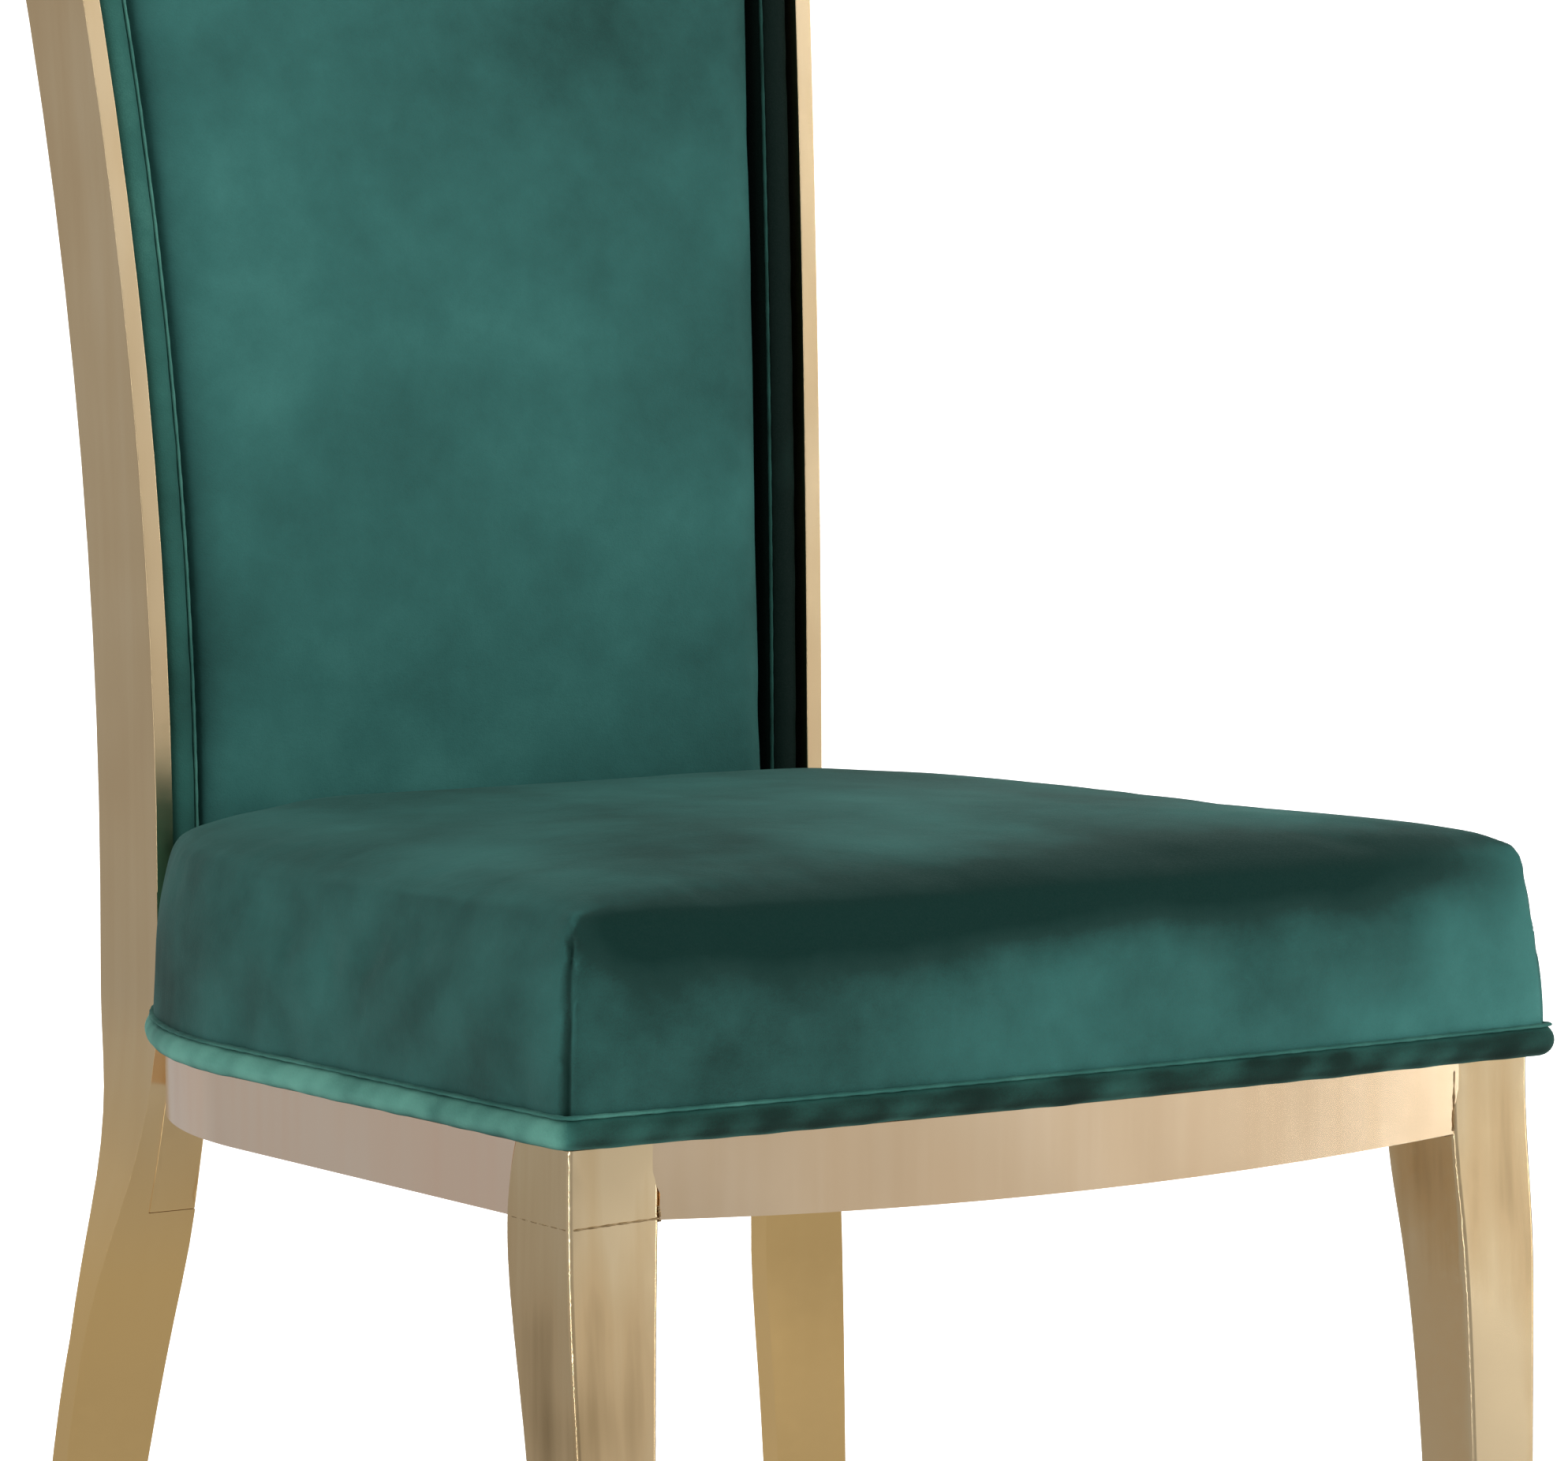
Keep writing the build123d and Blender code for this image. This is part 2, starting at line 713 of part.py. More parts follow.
def back_foam():
    inset = cover_thickness + fit
    edge = post_thickness + pad_gap + border_width + fit + inset
    foam = back_piece(pad_front + inset, back_board_front - fit, edge, pad_bottom + inset)
    return foam - tab_blank(fit) - screw_room()


def back_rear_cover():
    """The velvet-covered panel that closes the back of the pad."""
    front = back_board_rear + fit
    return back_piece(front, front + rear_cover_thickness, post_thickness + pad_gap, pad_bottom)


# ---------------------------------------------------------------- feet
def foot_glide(stations, corner_x, corner_y, depth=None):
    """A plastic foot: a base under the leg's end and a plug inside it."""
    foot = stations[-1]
    x = corner_x + foot.out - foot.width / 2
    y = corner_y + foot.back + (depth or foot.depth) / 2
    base = Pos(x, y, glide_base / 2) * Box(
        foot.width + 2 * glide_lip, (depth or foot.depth) + 2 * glide_lip, glide_base
    )
    base = chamfer(base.edges().group_by(Axis.Z)[0], glide_lip)
    plug_zone = Pos(0, 0, glide_base + glide_plug / 2) * Box(cut_box, cut_box, glide_plug)
    plug = leg_prism(stations, corner_x, corner_y, wall + 2 * fit, depth=depth)
    return base + (plug & plug_zone)


def foot_glides_front():
    glide = foot_glide(front_leg_stations, half_width, 0)
    return [glide, mirrored(glide)]


def foot_glides_rear():
    glide = foot_glide(rear_leg_stations, post_half_width, frame_depth, plate_depth)
    return [glide, mirrored(glide)]


# ---------------------------------------------------------------- assembly
def build():
    right_leg = front_leg()
    right_post = rear_post()
    right_insert = rear_leg_insert()
    right_side = side_rail()
    return {
        "front_leg_right": right_leg,
        "front_leg_left": mirrored(right_leg),
        "rear_post_right": right_post,
        "rear_post_left": mirrored(right_post),
        "rear_leg_insert_right": right_insert,
        "rear_leg_insert_left": mirrored(right_insert),
        "front_rail": front_rail(),
        "side_rail_right": right_side,
        "side_rail_left": mirrored(right_side),
        "rear_rail": rear_rail(),
        "lower_back_rail": lower_back_rail(),
        "crest_rail": crest_rail(),
        "corner_plates": corner_plates(),
        "back_tabs": back_tabs(),
        "foot_glides_front": foot_glides_front(),
        "foot_glides_rear": foot_glides_rear(),
        "seat_board": seat_board(),
        "seat_tee_nuts": seat_tee_nuts(),
        "seat_bolts": seat_bolts(),
        "seat_washers": seat_washers(),
        "seat_foam": seat_foam(),
        "seat_cover": seat_cover(),
        "seat_welt": seat_welt(),
        "seat_dust_cover": seat_dust_cover(),
        "back_board": back_board(),
        "back_foam": back_foam(),
        "back_front_cover": back_front_cover(),
        "back_border": back_border(),
        "back_rear_cover": back_rear_cover(),
        "back_tab_screws": back_tab_screws(),
        "back_rail_screws": back_rail_screws(),
    }


def as_solids(shape):
    if isinstance(shape, list):
        return [solid for item in shape for solid in item.solids()]
    return list(shape.solids())


parts = {name: as_solids(shape) for name, shape in build().items()}
whole = Compound([solid for solids in parts.values() for solid in solids]).bounding_box()
to_centre = Vector(0, -(whole.min.Y + whole.max.Y) / 2, 0)
os.makedirs("parts", exist_ok=True)
for name, solids in parts.items():
    moved = [solid.translate(to_centre) for solid in solids]
    export_step(Compound(moved), f"parts/{name}.step")
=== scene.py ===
import json
import math

import bmesh
import bpy
import numpy as np
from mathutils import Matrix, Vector


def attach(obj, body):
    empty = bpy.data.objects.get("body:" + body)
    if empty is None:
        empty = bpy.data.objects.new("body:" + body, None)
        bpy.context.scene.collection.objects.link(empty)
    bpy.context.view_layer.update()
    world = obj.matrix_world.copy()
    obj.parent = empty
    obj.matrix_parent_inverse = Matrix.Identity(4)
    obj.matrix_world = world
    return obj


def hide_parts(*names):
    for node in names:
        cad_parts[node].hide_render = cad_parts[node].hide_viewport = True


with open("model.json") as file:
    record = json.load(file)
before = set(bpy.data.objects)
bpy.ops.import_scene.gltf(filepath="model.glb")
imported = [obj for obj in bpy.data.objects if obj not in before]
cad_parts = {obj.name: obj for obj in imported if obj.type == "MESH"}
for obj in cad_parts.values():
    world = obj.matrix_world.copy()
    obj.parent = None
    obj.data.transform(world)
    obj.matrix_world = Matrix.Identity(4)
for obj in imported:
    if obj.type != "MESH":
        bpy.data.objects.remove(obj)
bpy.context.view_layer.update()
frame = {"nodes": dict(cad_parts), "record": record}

# Looks of the dining chair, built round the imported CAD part.
# Metres, +Z up, the chair faces -Y. Sizes below repeat those that part.py drives the CAD with.

nodes = frame["nodes"]
MM = 0.001
Y0 = -253.75                     # where the front faces of the legs are, in mm

# the seat frame, in mm
rail_top = 389.0
rail_height = 28.0
half_width = 230.0
frame_depth = 402.5
rail_bow = 6.0                   # how far the front rail stands forward in its middle
side_taper = 4.0
side_straight = 240.0
corner_radius = 224.0

# the seat's cover
overhang = 8.0
welt_radius = 6.25
welt_length = 1560.0             # nearly; it only spaces the unevenness of the sewn edges
right_reach = 5.0                # the cover was pulled on this much further at the right front
back_clearance = 1.5             # between the cover and the rear posts' front edges
seat_low = rail_top + 1.0
seat_edge = 476.0
seat_crown = 11.0
seat_centre = np.array([0.0, 195.0])
front_corner = np.array([half_width + 4, -4.0])

# the cloth under the seat
sheet_inset = 20.4               # the rails' thickness and a clearance
sheet_sag = 5.0
sheet_middle = np.array([0.0, 201.0])

# the back
overall_height = 1010.0
post_half_width = 170.0
post_thickness = 8.0
back_start = 445.0               # where the posts begin to lean
back_lean = 70.0
back_flare = 35.0
crest_rise = 12.0
pad_gap = 1.5
pad_bottom = 430.0
border_width = 13.6
border_inset = post_thickness + 1.1
back_seam_length = 1500.0
rear_panel_front = 43.3          # depths behind the posts' front edges
rear_panel_face = 46.4

# the steel's finish, in metres
same_place = 0.00002             # CAD corners this near to each other are one corner
edge_ease = 0.0007
post_ease = 0.0005
post_roll = 0.0024
post_roll_above = 0.41


# ---------------------------------------------------------------- camera
def linked(name, data):
    """A new object in the scene."""
    o = bpy.data.objects.new(name, data)
    bpy.context.scene.collection.objects.link(o)
    return o


camera = linked("camera", bpy.data.cameras.new("camera"))
camera.location = (-1.4641, -2.1348, 0.7166)
camera.rotation_euler = (math.radians(85.53), 0, math.radians(-35.24))
camera.data.sensor_width = 36
camera.data.lens = 144.9
camera.data.clip_end = 60
bpy.context.scene.camera = camera


# ---------------------------------------------------------------- node helpers
def new_material(name):
    material = bpy.data.materials.new(name)
    material.use_nodes = True
    tree = material.node_tree
    return material, tree, tree.nodes["Principled BSDF"]


def add(tree, kind, inputs=None, **settings):
    node = tree.nodes.new(kind)
    for key, value in settings.items():
        setattr(node, key, value)
    for key, value in (inputs or {}).items():
        if isinstance(value, bpy.types.NodeSocket):
            tree.links.new(value, node.inputs[key])
        else:
            node.inputs[key].default_value = value
    return node


def position(tree):
    return add(tree, "ShaderNodeTexCoord").outputs["Object"]


def stretched(tree, scale):
    return add(tree, "ShaderNodeMapping", {"Vector": position(tree), "Scale": scale}).outputs[0]


def noise(tree, scale, detail, rough=0.55, vector=None):
    node = add(tree, "ShaderNodeTexNoise", {"Scale": scale, "Detail": detail, "Roughness": rough})
    tree.links.new(vector or position(tree), node.inputs["Vector"])
    return node.outputs["Fac"]


def remap(tree, value, a, b, c, d):
    return add(tree, "ShaderNodeMapRange", {0: value, 1: a, 2: b, 3: c, 4: d}).outputs[0]


def ramp(tree, value, stops):
    node = add(tree, "ShaderNodeValToRGB", {"Fac": value})
    elements = node.color_ramp.elements
    while len(elements) < len(stops):
        elements.new(0.5)
    for element, (place, colour) in zip(elements, stops):
        element.position = place
        element.color = (*colour, 1)
    return node.outputs["Color"]


def maths(tree, operation, a, b):
    return add(tree, "ShaderNodeMath", {0: a, 1: b}, operation=operation).outputs[0]


def blended(tree, *parts):
    """The sum of several values, each times its weight."""
    total = None
    for value, weight in parts:
        share = maths(tree, "MULTIPLY", value, weight)
        total = share if total is None else maths(tree, "ADD", total, share)
    return total


def mixed(tree, factor, a, b):
    node = add(tree, "ShaderNodeMix", data_type="RGBA")
    for index, value in ((0, factor), (6, a), (7, b)):
        if isinstance(value, bpy.types.NodeSocket):
            tree.links.new(value, node.inputs[index])
        else:
            node.inputs[index].default_value = value
    return node.outputs[2]


def bumped(tree, height, strength, distance, below=None):
    node = add(
        tree, "ShaderNodeBump", {"Height": height, "Strength": strength, "Distance": distance}
    )
    if below is not None:
        tree.links.new(below, node.inputs["Normal"])
    return node.outputs[0]


# ---------------------------------------------------------------- materials
def gold_material(name, lift, contrast=1.0):
    """Champagne-gold plated steel: faint streaks, clouding, scuffs, and a painted warm reflection
    low at the rear; a higher lift is painted light.
    """
    material, tree, shader = new_material(name)
    clouds = noise(tree, 8, 2)
    streaks = noise(tree, 14, 3, 0.5, stretched(tree, (7, 7, 0.35)))
    scuffs = noise(tree, 160, 4, 0.6)
    tone = blended(tree, (clouds, 0.7), (streaks, 0.3))
    tone = remap(tree, tone, 0, 1, 0.5 - 0.5 * contrast, 0.5 + 0.5 * contrast)
    colour = ramp(
        tree, tone, [
            (0.0, (0.40 * lift, 0.28 * lift, 0.14 * lift)),
            (0.34, (0.72 * lift, 0.53 * lift, 0.30 * lift * lift)),
            (0.5, (0.77 * lift, 0.59 * lift, 0.35 * lift * lift)),
            (0.66, (0.82 * lift, 0.65 * lift, 0.41 * lift * lift)),
        ]
    )
    # painted warm reflection: low down at the rear the gold is tinted orange
    place = add(tree, "ShaderNodeSeparateXYZ", {0: position(tree)})
    low = remap(tree, place.outputs["Z"], 0.40, 0.28, 0, 1)
    rear = remap(tree, place.outputs["Y"], 0.05, 0.16, 0, 1)
    painted_warm_reflection = maths(tree, "MULTIPLY", maths(tree, "MULTIPLY", low, rear), 0.8)
    colour = mixed(tree, painted_warm_reflection, colour, (0.98, 0.66, 0.26, 1))
    tree.links.new(colour, shader.inputs["Base Color"])
    rough = maths(tree, "ADD", remap(tree, clouds, 0.3, 0.7, 0.15, 0.22),
                  remap(tree, scuffs, 0.5, 0.8, 0.0, 0.05))
    tree.links.new(rough, shader.inputs["Roughness"])
    ripple = bumped(tree, clouds, 0.22, 0.006)
    tree.links.new(bumped(tree, streaks, 0.02, 0.0004, ripple), shader.inputs["Normal"])
    shader.inputs["Metallic"].default_value = 1
    return material


def velvet_material(name, deep, dark, middle, light):
    """Short-pile velvet: brushed patches, fine pile, a sheen, and painted light and shade with some
    random tone from the mesh.
    """
    material, tree, shader = new_material(name)
    patches = noise(tree, 7.5, 3, 0.6)
    small = noise(tree, 42, 4, 0.65)
    pile = noise(tree, 1500, 2, 0.7)
    weave = noise(tree, 520, 3, 0.6, stretched(tree, (1, 1, 1.6)))
    # painted light and shade, with some random tone, set on the mesh's points
    painted_light_and_tone = add(tree, "ShaderNodeAttribute", attribute_name="painted_light_and_tone").outputs["Fac"]
    tone = blended(tree, (patches, 0.38), (small, 0.22), (pile, 0.16))
    tone = maths(tree, "ADD", tone, 0.12)              # brings the middle of the noise to 0.5
    tone = maths(tree, "ADD", tone, painted_light_and_tone)
    colour = ramp(tree, tone, [(0.0, deep), (0.18, dark), (0.5, middle), (0.82, light)])
    tree.links.new(colour, shader.inputs["Base Color"])
    tree.links.new(remap(tree, pile, 0.3, 0.7, 0.72, 0.95), shader.inputs["Roughness"])
    soft = bumped(tree, small, 0.25, 0.0015)
    fibres = bumped(tree, maths(tree, "ADD", pile, weave), 0.35, 0.0004, soft)
    tree.links.new(fibres, shader.inputs["Normal"])
    shader.inputs["Sheen Weight"].default_value = 0.035
    shader.inputs["Sheen Roughness"].default_value = 0.38
    shader.inputs["Sheen Tint"].default_value = (0.30, 0.72, 0.62, 1)
    shader.inputs["Specular IOR Level"].default_value = 0.16
    return material


def plain_material(name, a, b, scale, rough, metallic=0.0, stretch=(1, 1, 1), bump=0.2):
    """A small hidden part's finish: two tones of grain with its own roughness and relief."""
    material, tree, shader = new_material(name)
    grain = noise(tree, scale, 5, 0.6, stretched(tree, stretch))
    tree.links.new(ramp(tree, grain, [(0.35, a), (0.65, b)]), shader.inputs["Base Color"])
    roughness = remap(tree, grain, 0.3, 0.7, rough - 0.08, rough + 0.08)
    tree.links.new(roughness, shader.inputs["Roughness"])
    tree.links.new(bumped(tree, grain, bump, 0.0004), shader.inputs["Normal"])
    shader.inputs["Metallic"].default_value = metallic
    return material


# copies of the gold as painted light: the side rails' and the front rail's are brighter, and the
# front legs' has stronger streaks and clouding, partly the plating's own unevenness and partly
# painted reflection
gold = gold_material("gold_steel", 1.02)
gold_side_rails_painted_light = gold_material("gold_steel_side_rails_painted_light", 1.34, 0.55)
gold_front_rail_painted_light = gold_material("gold_steel_front_rail_painted_light", 1.13, 0.8)
gold_legs_streaks_and_painted_reflection = gold_material("gold_steel_front_legs_streaks_and_painted_reflection", 1.0, 2.4)
velvet = velvet_material(
    "velvet", (0.0002, 0.0155, 0.0124), (0.0050, 0.025, 0.021), (0.0205, 0.088, 0.079),
    (0.044, 0.158, 0.142)
)
# a copy of the velvet with a wider range, so that the painted light and shade on the welt and the
# back's band go lighter and darker
piping = velvet_material(
    "velvet_piping", (0.0005, 0.0060, 0.0044), (0.0030, 0.017, 0.013), (0.018, 0.080, 0.067),
    (0.070, 0.205, 0.165)
)
plastic = plain_material("glide_plastic", (0.010, 0.010, 0.010), (0.022, 0.022, 0.021), 340, 0.48)
plywood = plain_material(
    "plywood", (0.50, 0.34, 0.19), (0.66, 0.49, 0.30), 60, 0.62, stretch=(0.2, 1, 3)
)
zinc = plain_material("zinc_steel", (0.48, 0.49, 0.50), (0.62, 0.63, 0.65), 300, 0.34, 1.0)
foam = plain_material("foam", (0.72, 0.66, 0.46), (0.84, 0.79, 0.60), 900, 0.9, bump=0.6)
dust_cloth = plain_material(
    "dust_cloth", (0.008, 0.008, 0.008), (0.022, 0.022, 0.022), 700, 0.92, bump=0.5
)
weld = plain_material("weld_line", (0.30, 0.20, 0.10), (0.52, 0.38, 0.21), 420, 0.42, 1.0)

finishes = {
    "gold_steel": gold, "glide_plastic": plastic, "plywood": plywood, "zinc_steel": zinc,
    "foam": foam, "velvet": velvet, "velvet_piping": piping, "dust_cloth": dust_cloth,
}
for part in frame["record"]["subparts"]:
    mesh = nodes[part["node"]].data
    mesh.materials.clear()
    mesh.materials.append(finishes[part["material_slot"]])
for name, finish in (
    ("front_rail", gold_front_rail_painted_light),
    ("side_rail_left", gold_side_rails_painted_light), ("side_rail_right", gold_side_rails_painted_light),
    ("front_leg_left", gold_legs_streaks_and_painted_reflection), ("front_leg_right", gold_legs_streaks_and_painted_reflection),
):
    nodes[name].data.materials[0] = finish


# ---------------------------------------------------------------- steel: eased edges
def shade_smooth(mesh):
    for face in mesh.polygons:
        face.use_smooth = True


def ease(o, width):
    """Rounds the sharp edges a little and keeps the flat faces between them flat."""
    bevel = o.modifiers.new("ease", "BEVEL")
    bevel.width = width
    bevel.segments = 2
    bevel.limit_method = "ANGLE"
    bevel.angle_limit = math.radians(40)
    o.modifiers.new("normals", "WEIGHTED_NORMAL").weight = 60


def ease_node(name):
    """Joins a CAD node's split corners and eases its edges, all in modifiers."""
    o = nodes[name]
    o.modifiers.new("join", "WELD").merge_threshold = same_place
    ease(o, edge_ease)
    shade_smooth(o.data)


def round_post(name):
    """The post with its long edges above the seat rolled over, as on pressed flat tube."""
    bm = bmesh.new()
    bm.from_mesh(nodes[name].data)
    bmesh.ops.remove_doubles(bm, verts=bm.verts, dist=same_place)
    bmesh.ops.dissolve_limit(bm, angle_limit=math.radians(0.4), verts=bm.verts, edges=bm.edges)
    bm.normal_update()

    def sharp(edge):
        return len(edge.link_faces) == 2 and edge.calc_face_angle(0) > math.radians(50)

    def upright(edge):
        along = edge.verts[0].co - edge.verts[1].co
        high = min(v.co.z for v in edge.verts) > post_roll_above
        return high and abs(along.z) > 0.5 * along.length

    rolled = [e for e in bm.edges if sharp(e) and upright(e)]
    bmesh.ops.bevel(bm, geom=rolled, offset=post_roll, segments=4, profile=0.5,
                    affect="EDGES", clamp_overlap=True)
    mesh = bpy.data.meshes.new(name + "_rolled")
    bm.to_mesh(mesh)
    bm.free()
    mesh.materials.append(gold)
    shade_smooth(mesh)
    o = linked(name + "_rolled", mesh)
    ease(o, post_ease)
    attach(o, "root")
    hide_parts(name)


# ---------------------------------------------------------------- mesh helpers
def mesh_object(name, points, faces, material):
    """A new object from points in mm, in the CAD's plan coordinates."""
    mesh = bpy.data.meshes.new(name)
    co = np.array(points, float).reshape(-1, 3) + (0, Y0, 0)
    mesh.from_pydata((co * MM).tolist(), [], faces)
    outward(mesh)
    mesh.materials.append(material)
    shade_smooth(mesh)
    return linked(name, mesh)


def outward(mesh):
    """Turns every face outwards."""
    bm = bmesh.new()
    bm.from_mesh(mesh)
    bmesh.ops.recalc_face_normals(bm, faces=bm.faces)
    bm.to_mesh(mesh)
    bm.free()


def grid_faces(rows, columns, wrap=False):
    """Quads between the rows and columns of a grid of points; wrap joins each row's ends."""
    faces = []
    for i in range(rows - 1):
        for j in range(columns if wrap else columns - 1):
            here, above = i * columns, (i + 1) * columns
            j2 = (j + 1) % columns
            faces.append((here + j, here + j2, above + j2, above + j))
    return faces


def tube_faces(rows, count):
    """Quads along a tube made of rings of count points, with both ends closed."""
    faces = grid_faces(rows, count, wrap=True)
    faces.append(tuple(range(count))[::-1])
    faces.append(tuple(range((rows - 1) * count, rows * count)))
    return faces


def coordinates(o):
    """The object's points in mm, in the CAD's plan coordinates."""
    co = np.zeros(len(o.data.vertices) * 3)
    o.data.vertices.foreach_get("co", co)
    return co.reshape(-1, 3) / MM - (0, Y0, 0)


def set_coordinates(o, co):
    o.data.vertices.foreach_set("co", ((co + (0, Y0, 0)) * MM).astype(np.float32).ravel())
    o.data.update()


def vertex_normals(o):
    normals = np.zeros(len(o.data.vertices) * 3)
    o.data.vertices.foreach_get("normal", normals)
    return normals.reshape(-1, 3)


def set_painted_light_and_tone(o, values):
    attribute = o.data.attributes.new("painted_light_and_tone", "FLOAT", "POINT")
    attribute.data.foreach_set("value", np.asarray(values, np.float32))


def apply_modifiers(o):
    depsgraph = bpy.context.evaluated_depsgraph_get()
    made = bpy.data.meshes.new_from_object(o.evaluated_get(depsgraph))
    o.modifiers.clear()
    old = o.data
    o.data = made
    bpy.data.meshes.remove(old)
    shade_smooth(made)


def divide(o):
    """Adds one step of subdivision."""
    modifier = o.modifiers.new("divide", "SUBSURF")
    modifier.levels = 1
    modifier.render_levels = 1


cloth_steps = 20


def stuff(o, voxel, pressure, cap, hold, smooth=4):
    """Remeshes a pad and inflates it as cloth; hold gives, per point, how far it may follow."""
    modifier = o.modifiers.new("remesh", "REMESH")
    modifier.mode = "VOXEL"
    modifier.voxel_size = voxel * MM
    modifier.use_smooth_shade = True
    apply_modifiers(o)
    start = coordinates(o)
    cloth = o.modifiers.new("cloth", "CLOTH")
    for key, value in (
        ("quality", 5), ("mass", 0.25), ("tension_stiffness", 12),
        ("compression_stiffness", 12), ("shear_stiffness", 6), ("bending_stiffness", 0.6),
        ("use_pressure", True), ("uniform_pressure_force", pressure),
    ):
        setattr(cloth.settings, key, value)
    cloth.settings.effector_weights.gravity = 0
    cloth.point_cache.frame_start = 1
    cloth.point_cache.frame_end = cloth_steps
    for step in range(1, cloth_steps + 1):
        bpy.context.scene.frame_set(step)
    apply_modifiers(o)
    bpy.context.scene.frame_set(1)
    moved = coordinates(o) - start
    length = np.linalg.norm(moved, axis=1, keepdims=True) + 1e-9
    moved *= np.minimum(1, cap / length)
    set_coordinates(o, start + moved * hold(start)[:, None])
    soften = o.modifiers.new("soften", "SMOOTH")
    soften.iterations = smooth
    soften.factor = 0.5
    divide(o)
    apply_modifiers(o)


def smooth_step(value, low, high):
    t = np.clip((value - low) / (high - low), 0, 1)
    return t * t * (3 - 2 * t)


def soft_noise(co, scale, seed):
    """Three crossed waves in the range -1 to 1, the same on every run; scale is in mm."""
    total = np.zeros(len(co))
    for index in range(3):
        angle = 2.4 * index + seed
        direction = np.array([math.cos(angle), math.sin(1.7 * angle + 0.6), math.sin(angle)])
        direction /= np.linalg.norm(direction)
        waves = 2 * math.pi / scale
        total += np.sin(co @ direction * waves * (1 + 0.37 * index) + 5.1 * index + seed)
    return total / 3


def moved_out(co, normals, distances):
    """Points moved along their normals, each by its own distance."""
    return co + normals * distances[:, None]


# ---------------------------------------------------------------- seat outline
def seat_outline(outset, back_y, corner, count=900):
    """The seat in plan, anticlockwise from the middle of its front.

    It stands outset beyond the frame, and corner is how softly its corners turn.
    """
    radius = corner_radius + outset
    centre_x = half_width - side_taper - corner_radius
    corner_x = centre_x + radius
    start_x = corner_x + side_taper * (side_straight + outset) / side_straight
    last = math.asin((back_y - side_straight) / radius)
    front = [(x, -outset - rail_bow * (1 - (x / start_x) ** 2))
             for x in np.linspace(0, start_x, 240)]
    side = [(start_x + (corner_x - start_x) * t, -outset + (side_straight + outset) * t)
            for t in np.linspace(0, 1, 240)[1:]]
    curve = [(centre_x + radius * math.cos(a), side_straight + radius * math.sin(a))
             for a in np.linspace(0, last, 200)[1:]]
    end_x = curve[-1][0]
    back = [(end_x * (1 - t), back_y) for t in np.linspace(0, 1, 180)[1:]]
    half = np.array(front + side + curve + back)
    whole = np.concatenate([half, (half * (-1, 1))[::-1][1:-1]])
    closed = np.concatenate([whole, whole[:1]])
    along = np.concatenate([[0], np.cumsum(np.linalg.norm(np.diff(closed, axis=0), axis=1))])
    even = np.linspace(0, along[-1], count, endpoint=False)
    points = np.stack([np.interp(even, along, closed[:, k]) for k in (0, 1)], axis=1)
    step = along[-1] / count
    reach = int(4 * corner / step) + 1
    weights = np.exp(-0.5 * (np.arange(-reach, reach + 1) * step / corner) ** 2)
    weights /= weights.sum()
    padded = np.concatenate([points[-reach:], points, points[:reach]])
    points = np.stack([np.convolve(padded[:, k], weights, "valid") for k in (0, 1)], axis=1)
    if outset > 0:
        rightmost = smooth_step(points[:, 0], 90, 225)
        points[:, 0] += right_reach * rightmost * (1 - smooth_step(points[:, 1], 60, 300))
    return points


def outline_normals(points):
    along = np.roll(points, -1, axis=0) - np.roll(points, 1, axis=0)
    normals = np.stack([along[:, 1], -along[:, 0]], axis=1)
    return normals / np.linalg.norm(normals, axis=1, keepdims=True)


# ---------------------------------------------------------------- seat cushion
def near_front_corner(co, reach):
    """1 at the seat's front corners, falling to 0 over a distance in plan."""
    gap = np.hypot(np.abs(co[:, 0]) - front_corner[0], co[:, 1] - front_corner[1])
    return np.exp(-(gap / reach) ** 2)


def cushion_shape():
    """The plain cushion: sides that lean in, a rounded top edge and a crown."""
    base = seat_outline(overhang - 3.5, frame_depth - back_clearance, 3.6)
    normals = outline_normals(base)
    count = len(base)
    drop = 3 * near_front_corner(np.c_[base, np.zeros(count)], 26)
    behind = smooth_step(base[:, 1], 340, 398)
    drop += behind * (9 * smooth_step(-base[:, 0], 20, 150) + 2 * smooth_step(base[:, 0], 60, 150))
    rings = []
    for t in np.linspace(0, 1, 12):                      # up the side, leaning in
        inset = 0.6 + 4.4 * t - 2.2 * math.sin(math.pi * t)
        z = seat_low + (seat_edge - 10 - seat_low) * t
        rings.append(np.c_[base - normals * inset, np.full(count, z) - drop * t])
    for angle in np.linspace(0, math.pi / 2, 8)[1:]:     # round the top edge
        inset = 5 + 10 * (1 - math.cos(angle))
        z = seat_edge - 10 + 10 * math.sin(angle)
        rings.append(np.c_[base - normals * inset, z - drop * (1 - 0.25 * math.sin(angle))])
    edge = rings[-1]
    for s in np.linspace(0, 1, 30)[1:-1]:                # over the crown
        plan = edge[:, :2] + (seat_centre - edge[:, :2]) * s
        rise = seat_crown * (1 - (1 - s) ** 2.4)
        rise += 3.5 * smooth_step(plan[:, 1], 230, 380) * smooth_step(s, 0, 0.10)
        rings.append(np.c_[plan, edge[:, 2] + (drop * 0.75) * smooth_step(s, 0, 0.25) + rise])
    points = np.concatenate(rings)
    faces = grid_faces(len(rings), count, wrap=True)
    top = len(points)
    points = np.concatenate([points, [[*seat_centre, seat_edge + seat_crown]],
                             [[*seat_centre, seat_low]]])
    last = (len(rings) - 1) * count
    for j in range(count):
        j2 = (j + 1) % count
        faces.append((last + j, last + j2, top))
        faces.append((j2, j, top + 1))
    return mesh_object("seat_cushion", points, faces, velvet)


